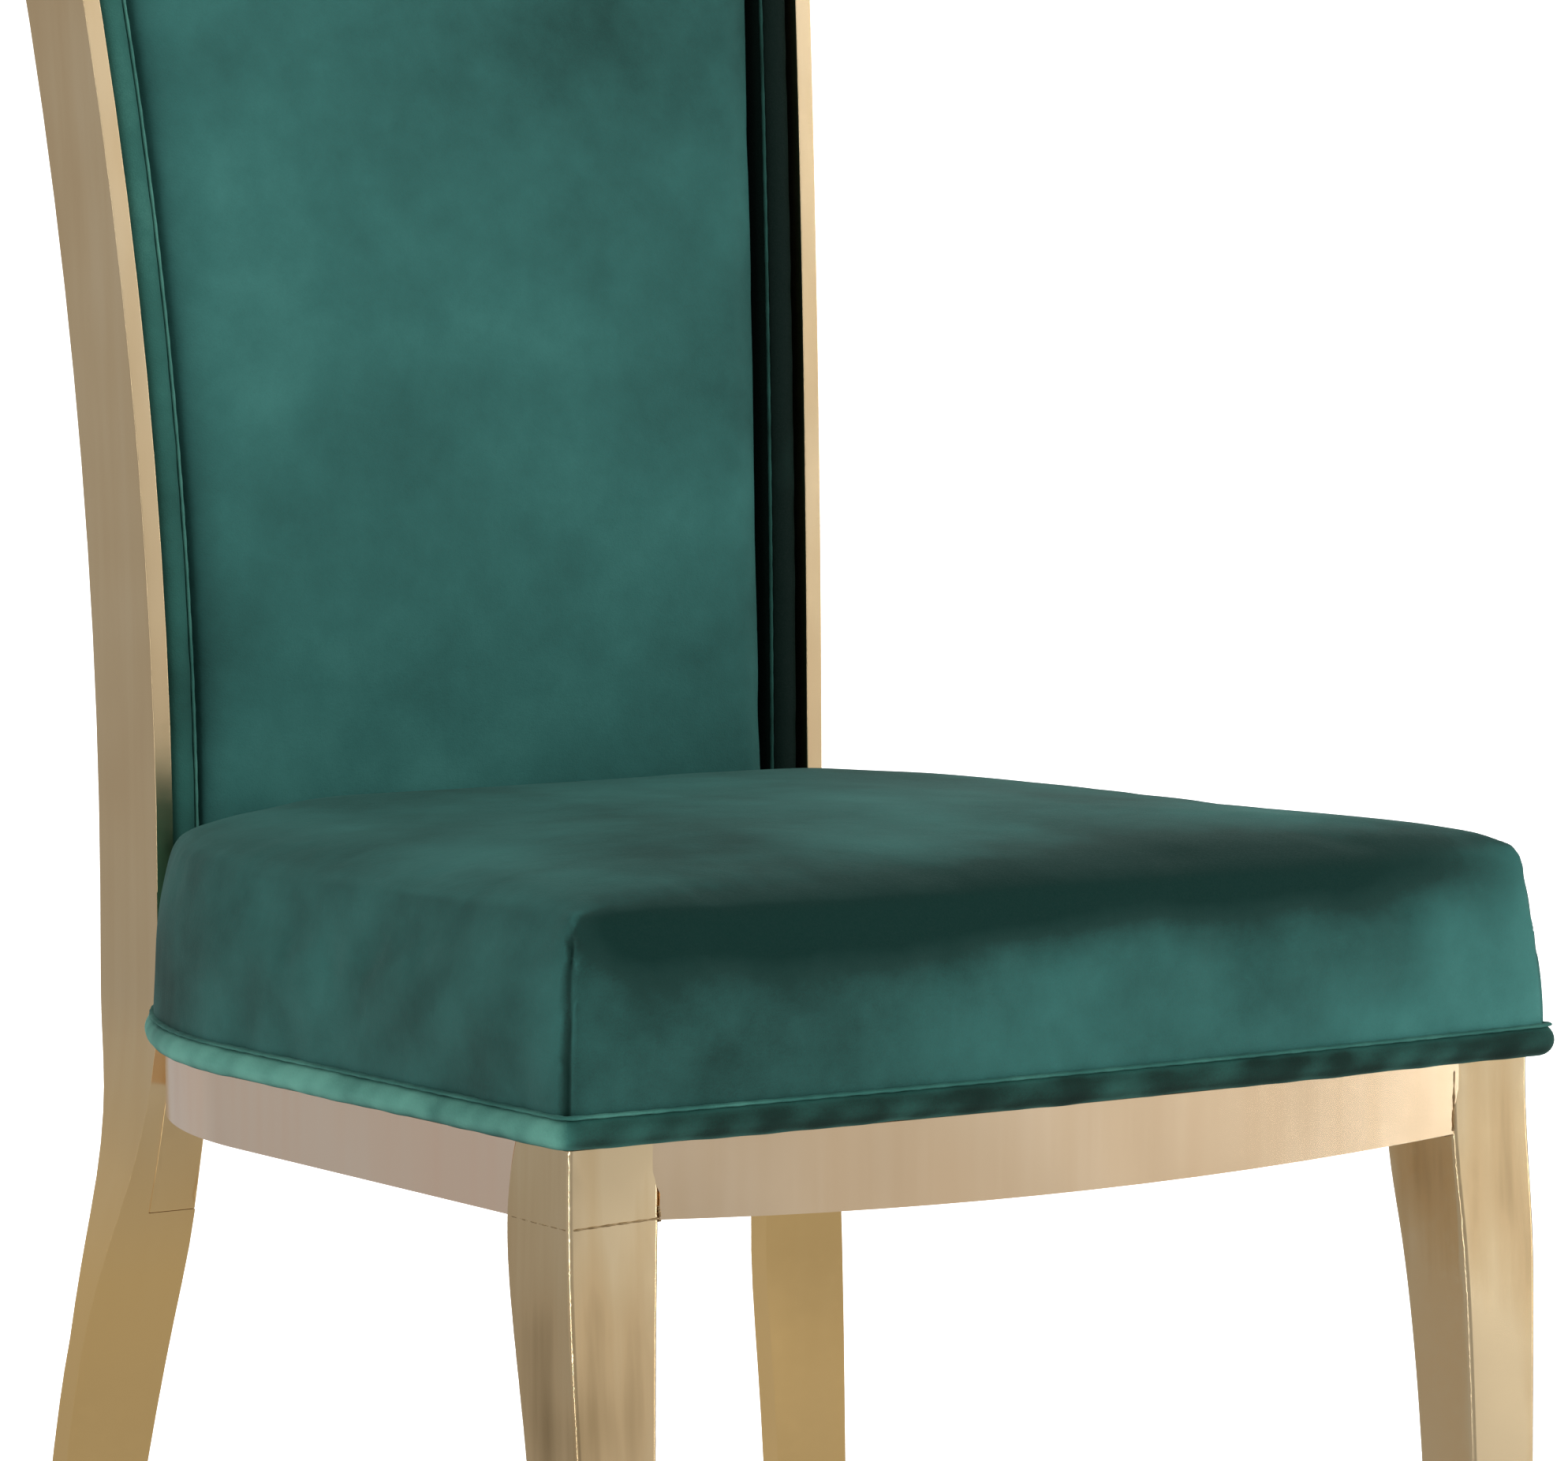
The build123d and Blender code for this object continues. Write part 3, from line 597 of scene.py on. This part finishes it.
def seat_cushion():
    o = cushion_shape()
    stuff(o, 4.5, 3.5, 3.2, lambda co: smooth_step(co[:, 2], seat_low + 8, seat_low + 45), 3)

    co = coordinates(o)
    normals = vertex_normals(o)
    side = (1 - np.abs(normals[:, 2])) * smooth_step(co[:, 2], seat_low + 2, seat_low + 16)
    seams = np.zeros(len(co))
    # the sewn corner seams: a narrow groove down each front corner, puckered at its top
    for sign in (-1, 1):
        corner = front_corner * (sign, 1) + (-sign * 2.2 + max(0, sign) * right_reach, 2.2)
        across = (co[:, 0] - corner[0]) * sign + (co[:, 1] - corner[1])
        near = np.exp(-(np.hypot(co[:, 0] - corner[0], co[:, 1] - corner[1]) / 22) ** 2)
        groove = np.exp(-(across / 1.8) ** 2) * near * smooth_step(co[:, 2], 395, 402)
        groove *= 1 - smooth_step(co[:, 2], 458, 470)
        co = moved_out(co, normals, -2.0 * groove)
        seams += groove
        pucker = np.exp(-((co[:, 2] - 461) / 6) ** 2) * np.exp(-(across / 7) ** 2) * near
        co = moved_out(co, normals, (0.8 * sign - 1.4) * pucker)
    # gathers: faint upright ripples above the welt, strongest on the sides
    low = 1 - smooth_step(co[:, 2], seat_low + 6, seat_low + 60)
    along = np.where(np.abs(normals[:, 0]) > 0.6, co[:, 1], co[:, 0])
    ripple = np.sin(along / 7.3 + 1.3 * np.sin(along / 31)) * np.sin(along / 53 + 0.8)
    strength = np.where(np.abs(normals[:, 0]) > 0.6, 0.55, 0.22)
    co = moved_out(co, normals, ripple * strength * low * side)
    # slow unevenness of hand-stretched velvet over foam
    free = smooth_step(co[:, 2], seat_low + 10, seat_low + 40)
    co = moved_out(co, normals, 0.5 * soft_noise(co, 130, 0.4) * free)
    co[:, 2] = np.maximum(co[:, 2], seat_low)
    set_coordinates(o, co)
    # painted shade: darker in the sewn corner grooves
    set_painted_light_and_tone(o, seat_painted_light_and_tone(co, vertex_normals(o)) - 0.25 * seams)
    return o


def seat_painted_light_and_tone(co, normals):
    """Painted light and shade on the velvet, with some random tone: dark where it turns over the
    front edge, light lower down.
    """
    front = smooth_step(-normals[:, 1], 0.45, 0.85)
    side = smooth_step(np.abs(normals[:, 0]), 0.5, 0.9)
    height = np.clip((co[:, 2] - seat_low) / (seat_edge - seat_low), 0, 1)
    top = smooth_step(normals[:, 2], 0.55, 0.97)
    across = smooth_step(co[:, 0], -236, -190) * (1 - 0.6 * smooth_step(co[:, 0], 120, 225))
    middle = 466 + 2 * np.sin(co[:, 0] / 60) + 3 * smooth_step(co[:, 0], -200, 200)
    band = np.exp(-(np.hypot((co[:, 1] - 9) / 2.8, co[:, 2] - middle) / 13.5) ** 2)
    # painted light and shade on the front face: darker high up, lighter lower down and towards the
    # right
    value = front * (-0.34 + 0.10 * (1 - height) ** 1.5 + 0.17 * smooth_step(co[:, 0], -215, -20))
    value += 0.13 * front * smooth_step(co[:, 0], 60, 235)
    value += 0.12 * front * smooth_step(co[:, 0], 205, 238)
    # a painted dark band of shade along the top of the front edge, fading near the right corner
    value -= 0.44 * band * across * (1 + 0.2 * soft_noise(co, 130, 0.7))
    # painted shade on the sides and the top; the waves are random tone
    value -= side * (0.17 + 0.05 * soft_noise(co, 70, 3.3)) + 0.13 * top * (1 - front)
    value += 0.11 * top * soft_noise(co, 240, 1.1)
    value += 0.045 * soft_noise(co, 90, 2.2)
    return value


cushion = seat_cushion()
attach(cushion, "root")
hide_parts("seat_cover", "seat_foam")


# ---------------------------------------------------------------- seat welt
def open_at_back(outline, back_y):
    """The points in front of a line across the back, from one side round the front to the other."""
    order = np.argsort(np.arctan2(outline[:, 0], -(outline[:, 1] - 200)))
    outline = outline[order]
    return outline[outline[:, 1] < back_y]


def swept(name, path, section, material):
    """A tube along 3-D points; section gives its outline at a fraction of the length."""
    path = np.asarray(path, float)
    tangents = np.gradient(path, axis=0)
    tangents /= np.linalg.norm(tangents, axis=1, keepdims=True)
    level = np.ptp(path[:, 2]) < 1
    up = np.array([0, 0, 1.0]) if level else np.array([0, 1.0, 0])
    rows = []
    for index, (point, tangent) in enumerate(zip(path, tangents)):
        side = np.cross(tangent, up)
        side /= np.linalg.norm(side)
        lift = np.cross(side, tangent)
        ring = section(index / (len(path) - 1))
        rows.append(point + ring[:, :1] * side + ring[:, 1:] * lift)
    faces = tube_faces(len(rows), len(rows[0]))
    return mesh_object(name, np.concatenate(rows), faces, material)


def seat_welt():
    """Velvet piping: a round cord whose cover is pulled a little unevenly."""
    back_y = frame_depth - back_clearance - welt_radius
    plan = seat_outline(overhang - welt_radius, back_y, 3.2, 1400)
    plan = open_at_back(plan, back_y - 0.4)
    z = rail_top + 0.3 + welt_radius
    path = np.c_[plan, np.full(len(plan), z)]
    angles = np.linspace(0, 2 * math.pi, 28, endpoint=False)

    def section(fraction):
        length = fraction * welt_length
        wobble = 0.10 * math.sin(length / 9.1) + 0.14 * math.sin(length / 23.7 + 1)
        wobble += 0.08 * math.sin(length / 4.3)
        twist = 0.05 * np.sin(3 * angles + length / 6.5)
        radius = welt_radius - 0.15 + wobble + twist
        return np.c_[radius * np.cos(angles), radius * np.sin(angles)]

    o = swept("seat_welt_piping", path, section, piping)
    co = coordinates(o)
    normals = vertex_normals(o)
    left, front, under = -normals.T
    # painted light and shade: lighter where it faces left, darker where it faces the front and
    # underneath
    value = 0.22 * smooth_step(left, 0.2, 0.8) - 0.27 * smooth_step(front, 0.3, 0.9)
    value -= 0.10 * smooth_step(under, 0.2, 0.9)
    set_painted_light_and_tone(o, value + 0.09 * soft_noise(co, 60, 0.9) + 0.06 * soft_noise(co, 18, 2.9))
    return o


def seat_seam():
    """The sewn edge just above the welt: a thin folded lip of the cover."""
    plan = seat_outline(overhang - 3.2, frame_depth - 3, 3.6, 1200)
    plan = open_at_back(plan, frame_depth - 12)
    z = rail_top + 2 * welt_radius + 0.2
    path = np.c_[plan, np.full(len(plan), z)]
    angles = np.linspace(0, 2 * math.pi, 12, endpoint=False)

    def section(fraction):
        radius = 0.8 + 0.10 * math.sin(fraction * welt_length / 2.2)
        return np.c_[(radius + 1.0) * np.cos(angles) - 0.6, radius * np.sin(angles)]

    o = swept("seat_seam_lip", path, section, piping)
    co = coordinates(o)
    set_painted_light_and_tone(o, 0.02 + 0.06 * soft_noise(co, 40, 0.3))
    return o


welt = seat_welt()
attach(welt, "root")
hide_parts("seat_welt")
lip = seat_seam()
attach(lip, "root")


# ---------------------------------------------------------------- cloth under the seat
def plate_room(points):
    """True where a plan point is in the room of a corner plate or the front rail."""
    x, y = np.abs(points[:, 0]), points[:, 1]
    return (y < 20.3) | (x > 134.0) & (y < 63.5) | (x > 98.0) & (y > 339.0)


def dust_cover():
    """Thin black cloth stapled inside the rails, cut back round the plates and sagging a little.

    Gives the piece, its flat width and length, and its flat area.
    """
    edge = seat_outline(-sheet_inset, frame_depth - sheet_inset, 2.0, 720)
    travel = np.linspace(0, 1, 260)
    reach = []
    for point in edge:
        blocked = plate_room(sheet_middle + (point - sheet_middle) * travel[:, None])
        reach.append(travel[np.argmax(blocked) - 1] if blocked.any() else 1.0)
    edge = sheet_middle + (edge - sheet_middle) * np.array(reach)[:, None]
    count = len(edge)
    rings = []
    for s in np.linspace(1, 0.03, 26):
        ripple = 0.5 * (1 - s) * np.sin(np.arange(count) * 2 * math.pi * 9 / count)
        z = rail_top - 0.7 - sheet_sag * (1 - s ** 2) - ripple
        rings.append(np.c_[sheet_middle + (edge - sheet_middle) * s, z])
    faces = grid_faces(len(rings), count, wrap=True)
    faces.append(tuple(range((len(rings) - 1) * count, len(rings) * count)))
    o = mesh_object("seat_dust_sheet", np.concatenate(rings), faces, dust_cloth)
    thick = o.modifiers.new("thick", "SOLIDIFY")
    thick.thickness = 0.0004
    thick.offset = 0
    apply_modifiers(o)
    ahead = np.roll(edge, -1, axis=0)
    crossed = edge[:, 0] * ahead[:, 1] - ahead[:, 0] * edge[:, 1]
    area = 0.5 * abs(np.sum(crossed)) * MM * MM
    size = np.ptp(edge, axis=0) * MM
    return o, (float(size[0]), float(size[1])), float(area)


dust, dust_size, dust_area = dust_cover()
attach(dust, "root")
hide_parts("seat_dust_cover")


# ---------------------------------------------------------------- back pad
def lean(z):
    """How much of its whole lean and flare the back has at a height, from 0 to 1."""
    return np.maximum(0, (z - back_start) / (overall_height - back_start)) ** 2


def outer_x(z):
    """The posts' outer face."""
    return post_half_width + back_flare * lean(z)


def arch_z(x):
    """Top of the crest rail at a distance from the middle."""
    half_span = post_half_width + back_flare
    radius = (half_span ** 2 + crest_rise ** 2) / (2 * crest_rise)
    x = np.minimum(np.abs(x), half_span)
    return overall_height - radius + np.sqrt(radius ** 2 - x ** 2)


def corner_height(inset):
    """Where the outline of the back at an inset turns from its side to the arch."""
    z = overall_height - crest_rise - inset
    for _ in range(8):
        z = float(arch_z(outer_x(z) - inset)) - inset
    return z


def pad_surface(x, z, offset):
    """Points a distance behind the posts' front edges."""
    return np.stack([x, frame_depth + back_lean * lean(z) + offset, z], axis=-1)


def ring_points(inset, low):
    """The outline of the back at an inset, up one side, along the arch and down the other."""
    z = np.linspace(low, corner_height(inset), 150)
    x = outer_x(z) - inset
    across = np.linspace(x[-1], -x[-1], 110)[1:-1]
    return np.concatenate([
        np.c_[x, z], np.c_[across, arch_z(across) - inset], np.c_[-x[::-1], z[::-1]],
    ])


def back_border():
    """The narrow stuffed band round the front panel, open below."""
    profile = [(0.4, depth) for depth in (29, 22, 15)]
    for angle in np.linspace(0, math.pi, 15):
        across = border_width / 2 - 6.4 * math.cos(angle)
        profile.append((across, 9.5 - 6.5 * math.sin(angle) ** 0.7))
    profile += [(border_width - 0.4, depth) for depth in (15, 22, 29)]
    columns = []
    for inset, depth in profile:
        ring = ring_points(border_inset + inset, pad_bottom)
        columns.append(pad_surface(ring[:, 0], ring[:, 1], depth))
    points = np.stack(columns, axis=1)
    rows, count = points.shape[:2]
    length = np.arange(rows)
    gather = 0.25 * np.sin(length * 1.1) * np.sin(length / 9.0) + 0.15 * np.sin(length / 2.1)
    points[:, 4:-4, 1] += gather[:, None]
    faces = tube_faces(rows, count)
    o = mesh_object("back_border_band", points.reshape(-1, 3), faces, piping)
    divide(o)
    apply_modifiers(o)
    co = coordinates(o)
    # painted shade: darker towards the right, where the raised panel's shadow falls on the band
    shade = -0.05 - 0.50 * smooth_step(co[:, 0], -110, 150)
    set_painted_light_and_tone(o, shade + 0.07 * soft_noise(co, 70, 1.7))
    return o


def panel_shape(name, inset, columns, rows, front, rear, edge_depth, edge_reach):
    """A closed curved pad between two depths, its front face rounded over at its edges."""
    low = pad_bottom
    s = np.linspace(-1, 1, columns)
    s = np.sign(s) * (1 - (1 - np.abs(s)) ** 1.35)
    v = np.linspace(0, 1, rows)
    v = 0.5 - 0.5 * np.cos(math.pi * v) * (1 - 0.35 * np.sin(math.pi * v) ** 2)
    grid_s, grid_v = np.meshgrid(s, v)
    z = low + grid_v * (overall_height - crest_rise - inset - low)
    for _ in range(6):                                   # settles x and z on the arch
        x = grid_s * (outer_x(z) - inset)
        z = low + grid_v * (arch_z(x) - inset - low)
    x = grid_s * (outer_x(z) - inset)
    side_gap = (outer_x(z) - inset) - np.abs(x)
    top_gap = arch_z(x) - inset - z
    gap = np.minimum(np.minimum(side_gap, top_gap), z - low)
    turn = np.clip(1 - gap / edge_reach, 0, 1)
    depth = front + edge_depth * (1 - np.sqrt(1 - turn ** 2 * 0.999))
    face = pad_surface(x, z, depth)
    behind = pad_surface(x, z, np.full_like(x, rear))
    points = np.concatenate([face.reshape(-1, 3), behind.reshape(-1, 3)])
    faces = [f[::-1] for f in grid_faces(rows, columns)]
    offset = rows * columns
    faces += [tuple(offset + i for i in f) for f in grid_faces(rows, columns)]
    rim = [(0, j) for j in range(columns)] + [(i, columns - 1) for i in range(1, rows)]
    rim += [(rows - 1, j) for j in range(columns - 2, -1, -1)]
    rim += [(i, 0) for i in range(rows - 2, 0, -1)]
    rim = [i * columns + j for i, j in rim]
    for a, b in zip(rim, rim[1:] + rim[:1]):
        faces.append((a, b, offset + b, offset + a))
    return mesh_object(name, points, faces, velvet)


def depth_of(co):
    """How far points lie behind the posts' front edges."""
    return co[:, 1] - frame_depth - back_lean * lean(co[:, 2])


def back_panel():
    inset = post_thickness + pad_gap + border_width + 0.5
    o = panel_shape("back_front_panel", inset, 120, 190, 3.4, 28, 9, 15)
    stuff(o, 4.5, 3.0, 4.0, lambda co: 1 - smooth_step(depth_of(co), 10, 22))
    co = coordinates(o)
    co = moved_out(co, vertex_normals(o), 0.5 * soft_noise(co, 150, 2.0))
    set_coordinates(o, co)
    # painted shade: a little darker high up and more towards the right
    shade = -0.03 - 0.03 * smooth_step(co[:, 2], 560, 900) - 0.12 * smooth_step(co[:, 0], 40, 190)
    set_painted_light_and_tone(o, shade + 0.07 * soft_noise(co, 260, 0.2) + 0.04 * soft_noise(co, 110, 3.1))
    return o


def rear_panel():
    """The covered panel that closes the back from behind."""
    inset = post_thickness + pad_gap
    o = panel_shape(
        "back_rear_panel", inset, 90, 150, rear_panel_face, rear_panel_front, -2.4, 9
    )
    co = coordinates(o)
    swell = smooth_step(depth_of(co), rear_panel_face - 1.2, rear_panel_face - 0.1)
    co[:, 1] += swell * (0.9 + 0.5 * soft_noise(co, 190, 0.8))
    set_coordinates(o, co)
    set_painted_light_and_tone(o, -0.02 + 0.08 * soft_noise(co, 240, 1.4) + 0.04 * soft_noise(co, 90, 0.5))
    return o


def back_seam():
    """The thin sewn edge between the border band and the front panel."""
    ring = ring_points(border_inset + border_width + 0.2, pad_bottom + 2)
    path = pad_surface(ring[:, 0], ring[:, 1], np.full(len(ring), 6.2))
    angles = np.linspace(0, 2 * math.pi, 10, endpoint=False)

    def section(fraction):
        radius = 0.75 + 0.10 * math.sin(fraction * back_seam_length / 1.9)
        return np.c_[radius * np.cos(angles), radius * np.sin(angles)]

    o = swept("back_seam_edge", path, section, piping)
    co = coordinates(o)
    # painted light and shade: a light line on the left, darker towards the right
    set_painted_light_and_tone(o, 0.12 - 0.32 * smooth_step(co[:, 0], -110, 150) + 0.06 * soft_noise(co, 50, 0.3))
    return o


border = back_border()
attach(border, "root")
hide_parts("back_border")
seam = back_seam()
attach(seam, "root")
panel = back_panel()
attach(panel, "root")
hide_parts("back_front_cover", "back_foam")
rear = rear_panel()
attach(rear, "root")
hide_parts("back_rear_cover")


# ---------------------------------------------------------------- steel
steel = [p["node"] for p in frame["record"]["subparts"] if p["material_slot"] == "gold_steel"]
for name in steel:
    if name.startswith("rear_post"):
        round_post(name)
    else:
        ease_node(name)


def bead(name, path, radius):
    """A ground-down weld: a thin uneven line along 3-D points in mm."""
    path = np.asarray(path, float)
    fine = np.linspace(0, len(path) - 1, 16 * len(path))
    path = np.stack([np.interp(fine, np.arange(len(path)), path[:, k]) for k in range(3)], axis=1)
    tangents = np.gradient(path, axis=0)
    tangents /= np.linalg.norm(tangents, axis=1, keepdims=True) + 1e-9
    rows = []
    angles = np.linspace(0, 2 * math.pi, 8, endpoint=False)
    for index, (point, tangent) in enumerate(zip(path, tangents)):
        first = np.cross(tangent, (0.3, 0.5, 0.8))
        first /= np.linalg.norm(first)
        second = np.cross(tangent, first)
        uneven = radius * (1 + 0.25 * math.sin(index * 0.9) + 0.15 * math.sin(index * 2.3))
        ring = np.cos(angles)[:, None] * first + np.sin(angles)[:, None] * second
        rows.append(point + uneven * ring)
    o = mesh_object(name, np.concatenate(rows), tube_faces(len(rows), len(angles)), weld)
    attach(o, "root")


rail_bottom = rail_top - rail_height
leg_seam = 39.2                  # from the frame's outer face to where rail and leg meet
for sign, end in ((-1, "left"), (1, "right")):
    outer = sign * (half_width + 0.25)
    inner = sign * (half_width - leg_seam)
    if sign < 0:
        bead("weld_leg_left", [
            (inner, -0.6, rail_bottom + 0.5), (sign * (half_width - 20), -0.9, rail_bottom),
            (sign * (half_width - 2), -0.7, rail_bottom - 0.6), (outer, 1.4, rail_bottom - 0.6),
            (outer, 20, rail_bottom - 0.4), (outer - sign * 0.1, 38, rail_bottom),
        ], 0.35)
    seam_top = rail_top - 3 if sign > 0 else rail_bottom + 5
    bead(f"weld_rail_{end}", [
        (inner + sign * 0.2, 0.2, seam_top), (inner, -0.5, rail_bottom + 2),
        (inner - sign * 1.5, 1.5, rail_bottom - 0.8), (inner - sign * 1.6, 8, rail_bottom - 1.0),
        (inner - sign * 1.6, 17, rail_bottom - 1.0),
    ], 0.5)


def rail_cap(end, sign):
    """A small plate welded over the rear end of a side rail, beside the leg."""
    middle_x, half_x, corner = 132.5, 8.2, 1.6
    middle_z, half_z = rail_top - rail_height / 2, 13.6
    starts = np.arange(4) * math.pi / 2
    angles = np.concatenate([np.linspace(a, a + math.pi / 2, 6) for a in starts])
    quarter = np.repeat([(1, 1), (-1, 1), (-1, -1), (1, -1)], 6, axis=0)
    rings = []
    for inset, back in ((0, 402.9), (0, 403.5), (0.15, 403.8), (0.5, 403.95), (1.5, 404.05)):
        x = middle_x + quarter[:, 0] * (half_x - corner) + (corner - inset) * np.cos(angles)
        z = middle_z + quarter[:, 1] * (half_z - corner) + (corner - inset) * np.sin(angles)
        rings.append(np.stack([sign * x, np.full_like(x, back), z], axis=1))
    faces = tube_faces(len(rings), len(angles))
    o = mesh_object(f"rail_cap_{end}", np.concatenate(rings), faces, gold_side_rails_painted_light)
    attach(o, "root")


for sign, end in ((-1, "left"), (1, "right")):
    rail_cap(end, sign)


# ---------------------------------------------------------------- floor, backdrop and lights
def stage_object(name, rows, wrap, colour, gloss, glow):
    """A surface through rows of points in metres, which also shines by itself."""
    mesh = bpy.data.meshes.new(name)
    points = [point for row in rows for point in row]
    mesh.from_pydata(points, [], grid_faces(len(rows), len(rows[0]), wrap))
    shade_smooth(mesh)
    material, _, shader = new_material(name)
    shader.inputs["Base Color"].default_value = (colour, colour, colour, 1)
    shader.inputs["Roughness"].default_value = 0.9
    shader.inputs["Specular IOR Level"].default_value = gloss
    shader.inputs["Emission Color"].default_value = (1, 1, 1, 1)
    shader.inputs["Emission Strength"].default_value = glow
    mesh.materials.append(material)
    o = linked(name, mesh)
    o.visible_glossy = False
    return o


def backdrop():
    """A pale floor that curves up into a backdrop behind the chair."""
    floor_end, bend, half_floor = 4.5, 2.0, 8.0
    along = [(-6, 0), (floor_end, 0)]
    for angle in np.linspace(0, math.pi / 2, 16)[1:]:
        along.append((floor_end + bend * math.sin(angle), bend - bend * math.cos(angle)))
    along.append((floor_end + bend, 7))
    rows = [[(x, y, z) for x in (-half_floor, half_floor)] for y, z in along]
    o = stage_object("backdrop", rows, False, 0.93, 0.1, 0.62)
    o.rotation_euler = (0, 0, math.radians(-35))
    return o


def surround():
    """A white wall far round the scene, seen by the camera only."""
    radius = 14.0
    turns = np.linspace(0, 2 * math.pi, 49)[:-1]
    rows = [[(radius * math.cos(t), radius * math.sin(t), z) for t in turns] for z in (-2, 14)]
    o = stage_object("surround", rows, True, 0.0, 0.0, 1.0)
    o.visible_diffuse = o.visible_transmission = o.visible_shadow = False
    return o


def area_light(name, place, aim, size, power, in_steel=False):
    """A soft light; in_steel says whether the polished steel shows its reflection."""
    light = bpy.data.lights.new(name, "AREA")
    light.shape = "RECTANGLE"
    light.size, light.size_y = size
    light.energy = power
    o = linked(name, light)
    o.location = place
    o.rotation_euler = (Vector(aim) - Vector(place)).to_track_quat("-Z", "Y").to_euler()
    o.visible_glossy = in_steel


backdrop()
surround()
area_light("key", (1.9, -3.2, 1.5), (0, 0, 0.5), (2.2, 1.8), 80)
area_light("fill_left", (-3.2, -1.0, 1.2), (0, 0, 0.5), (1.8, 2.4), 26)
area_light("top", (0, 0.4, 3.2), (0, 0, 0.4), (3.0, 3.0), 22)
area_light("back_right", (2.8, 2.2, 1.8), (0, 0, 0.6), (1.6, 2.2), 22)
area_light("strip_left", (-2.9, -2.1, 0.9), (0, 0, 0.6), (0.30, 2.6), 16, True)
area_light("strip_right", (2.9, -2.2, 1.0), (0, 0, 0.6), (0.25, 2.4), 12, True)

# the sky that the steel reflects: brighter towards the front right and overhead, a little cloudy
world = bpy.data.worlds.new("studio")
bpy.context.scene.world = world
world.use_nodes = True
sky = world.node_tree
towards = add(sky, "ShaderNodeTexCoord").outputs["Generated"]
key_side = add(
    sky, "ShaderNodeVectorMath", {0: towards, 1: (0.856, -0.503, 0.12)}, operation="DOT_PRODUCT"
).outputs["Value"]
overhead = add(sky, "ShaderNodeSeparateXYZ", {0: towards}).outputs["Z"]
drift = noise(sky, 2.2, 2, 0.5, towards)
glow = maths(sky, "ADD", remap(sky, key_side, 0.80, 0.97, 0.44, 0.98),
             remap(sky, overhead, 0.15, 0.7, 0.0, 0.45))
glow = maths(sky, "MULTIPLY", glow, remap(sky, drift, 0.3, 0.7, 0.75, 1.22))
backlight = sky.nodes["Background"]
backlight.inputs["Color"].default_value = (1.0, 0.985, 0.96, 1)
sky.links.new(glow, backlight.inputs["Strength"])
bpy.context.scene.view_settings.view_transform = "Standard"
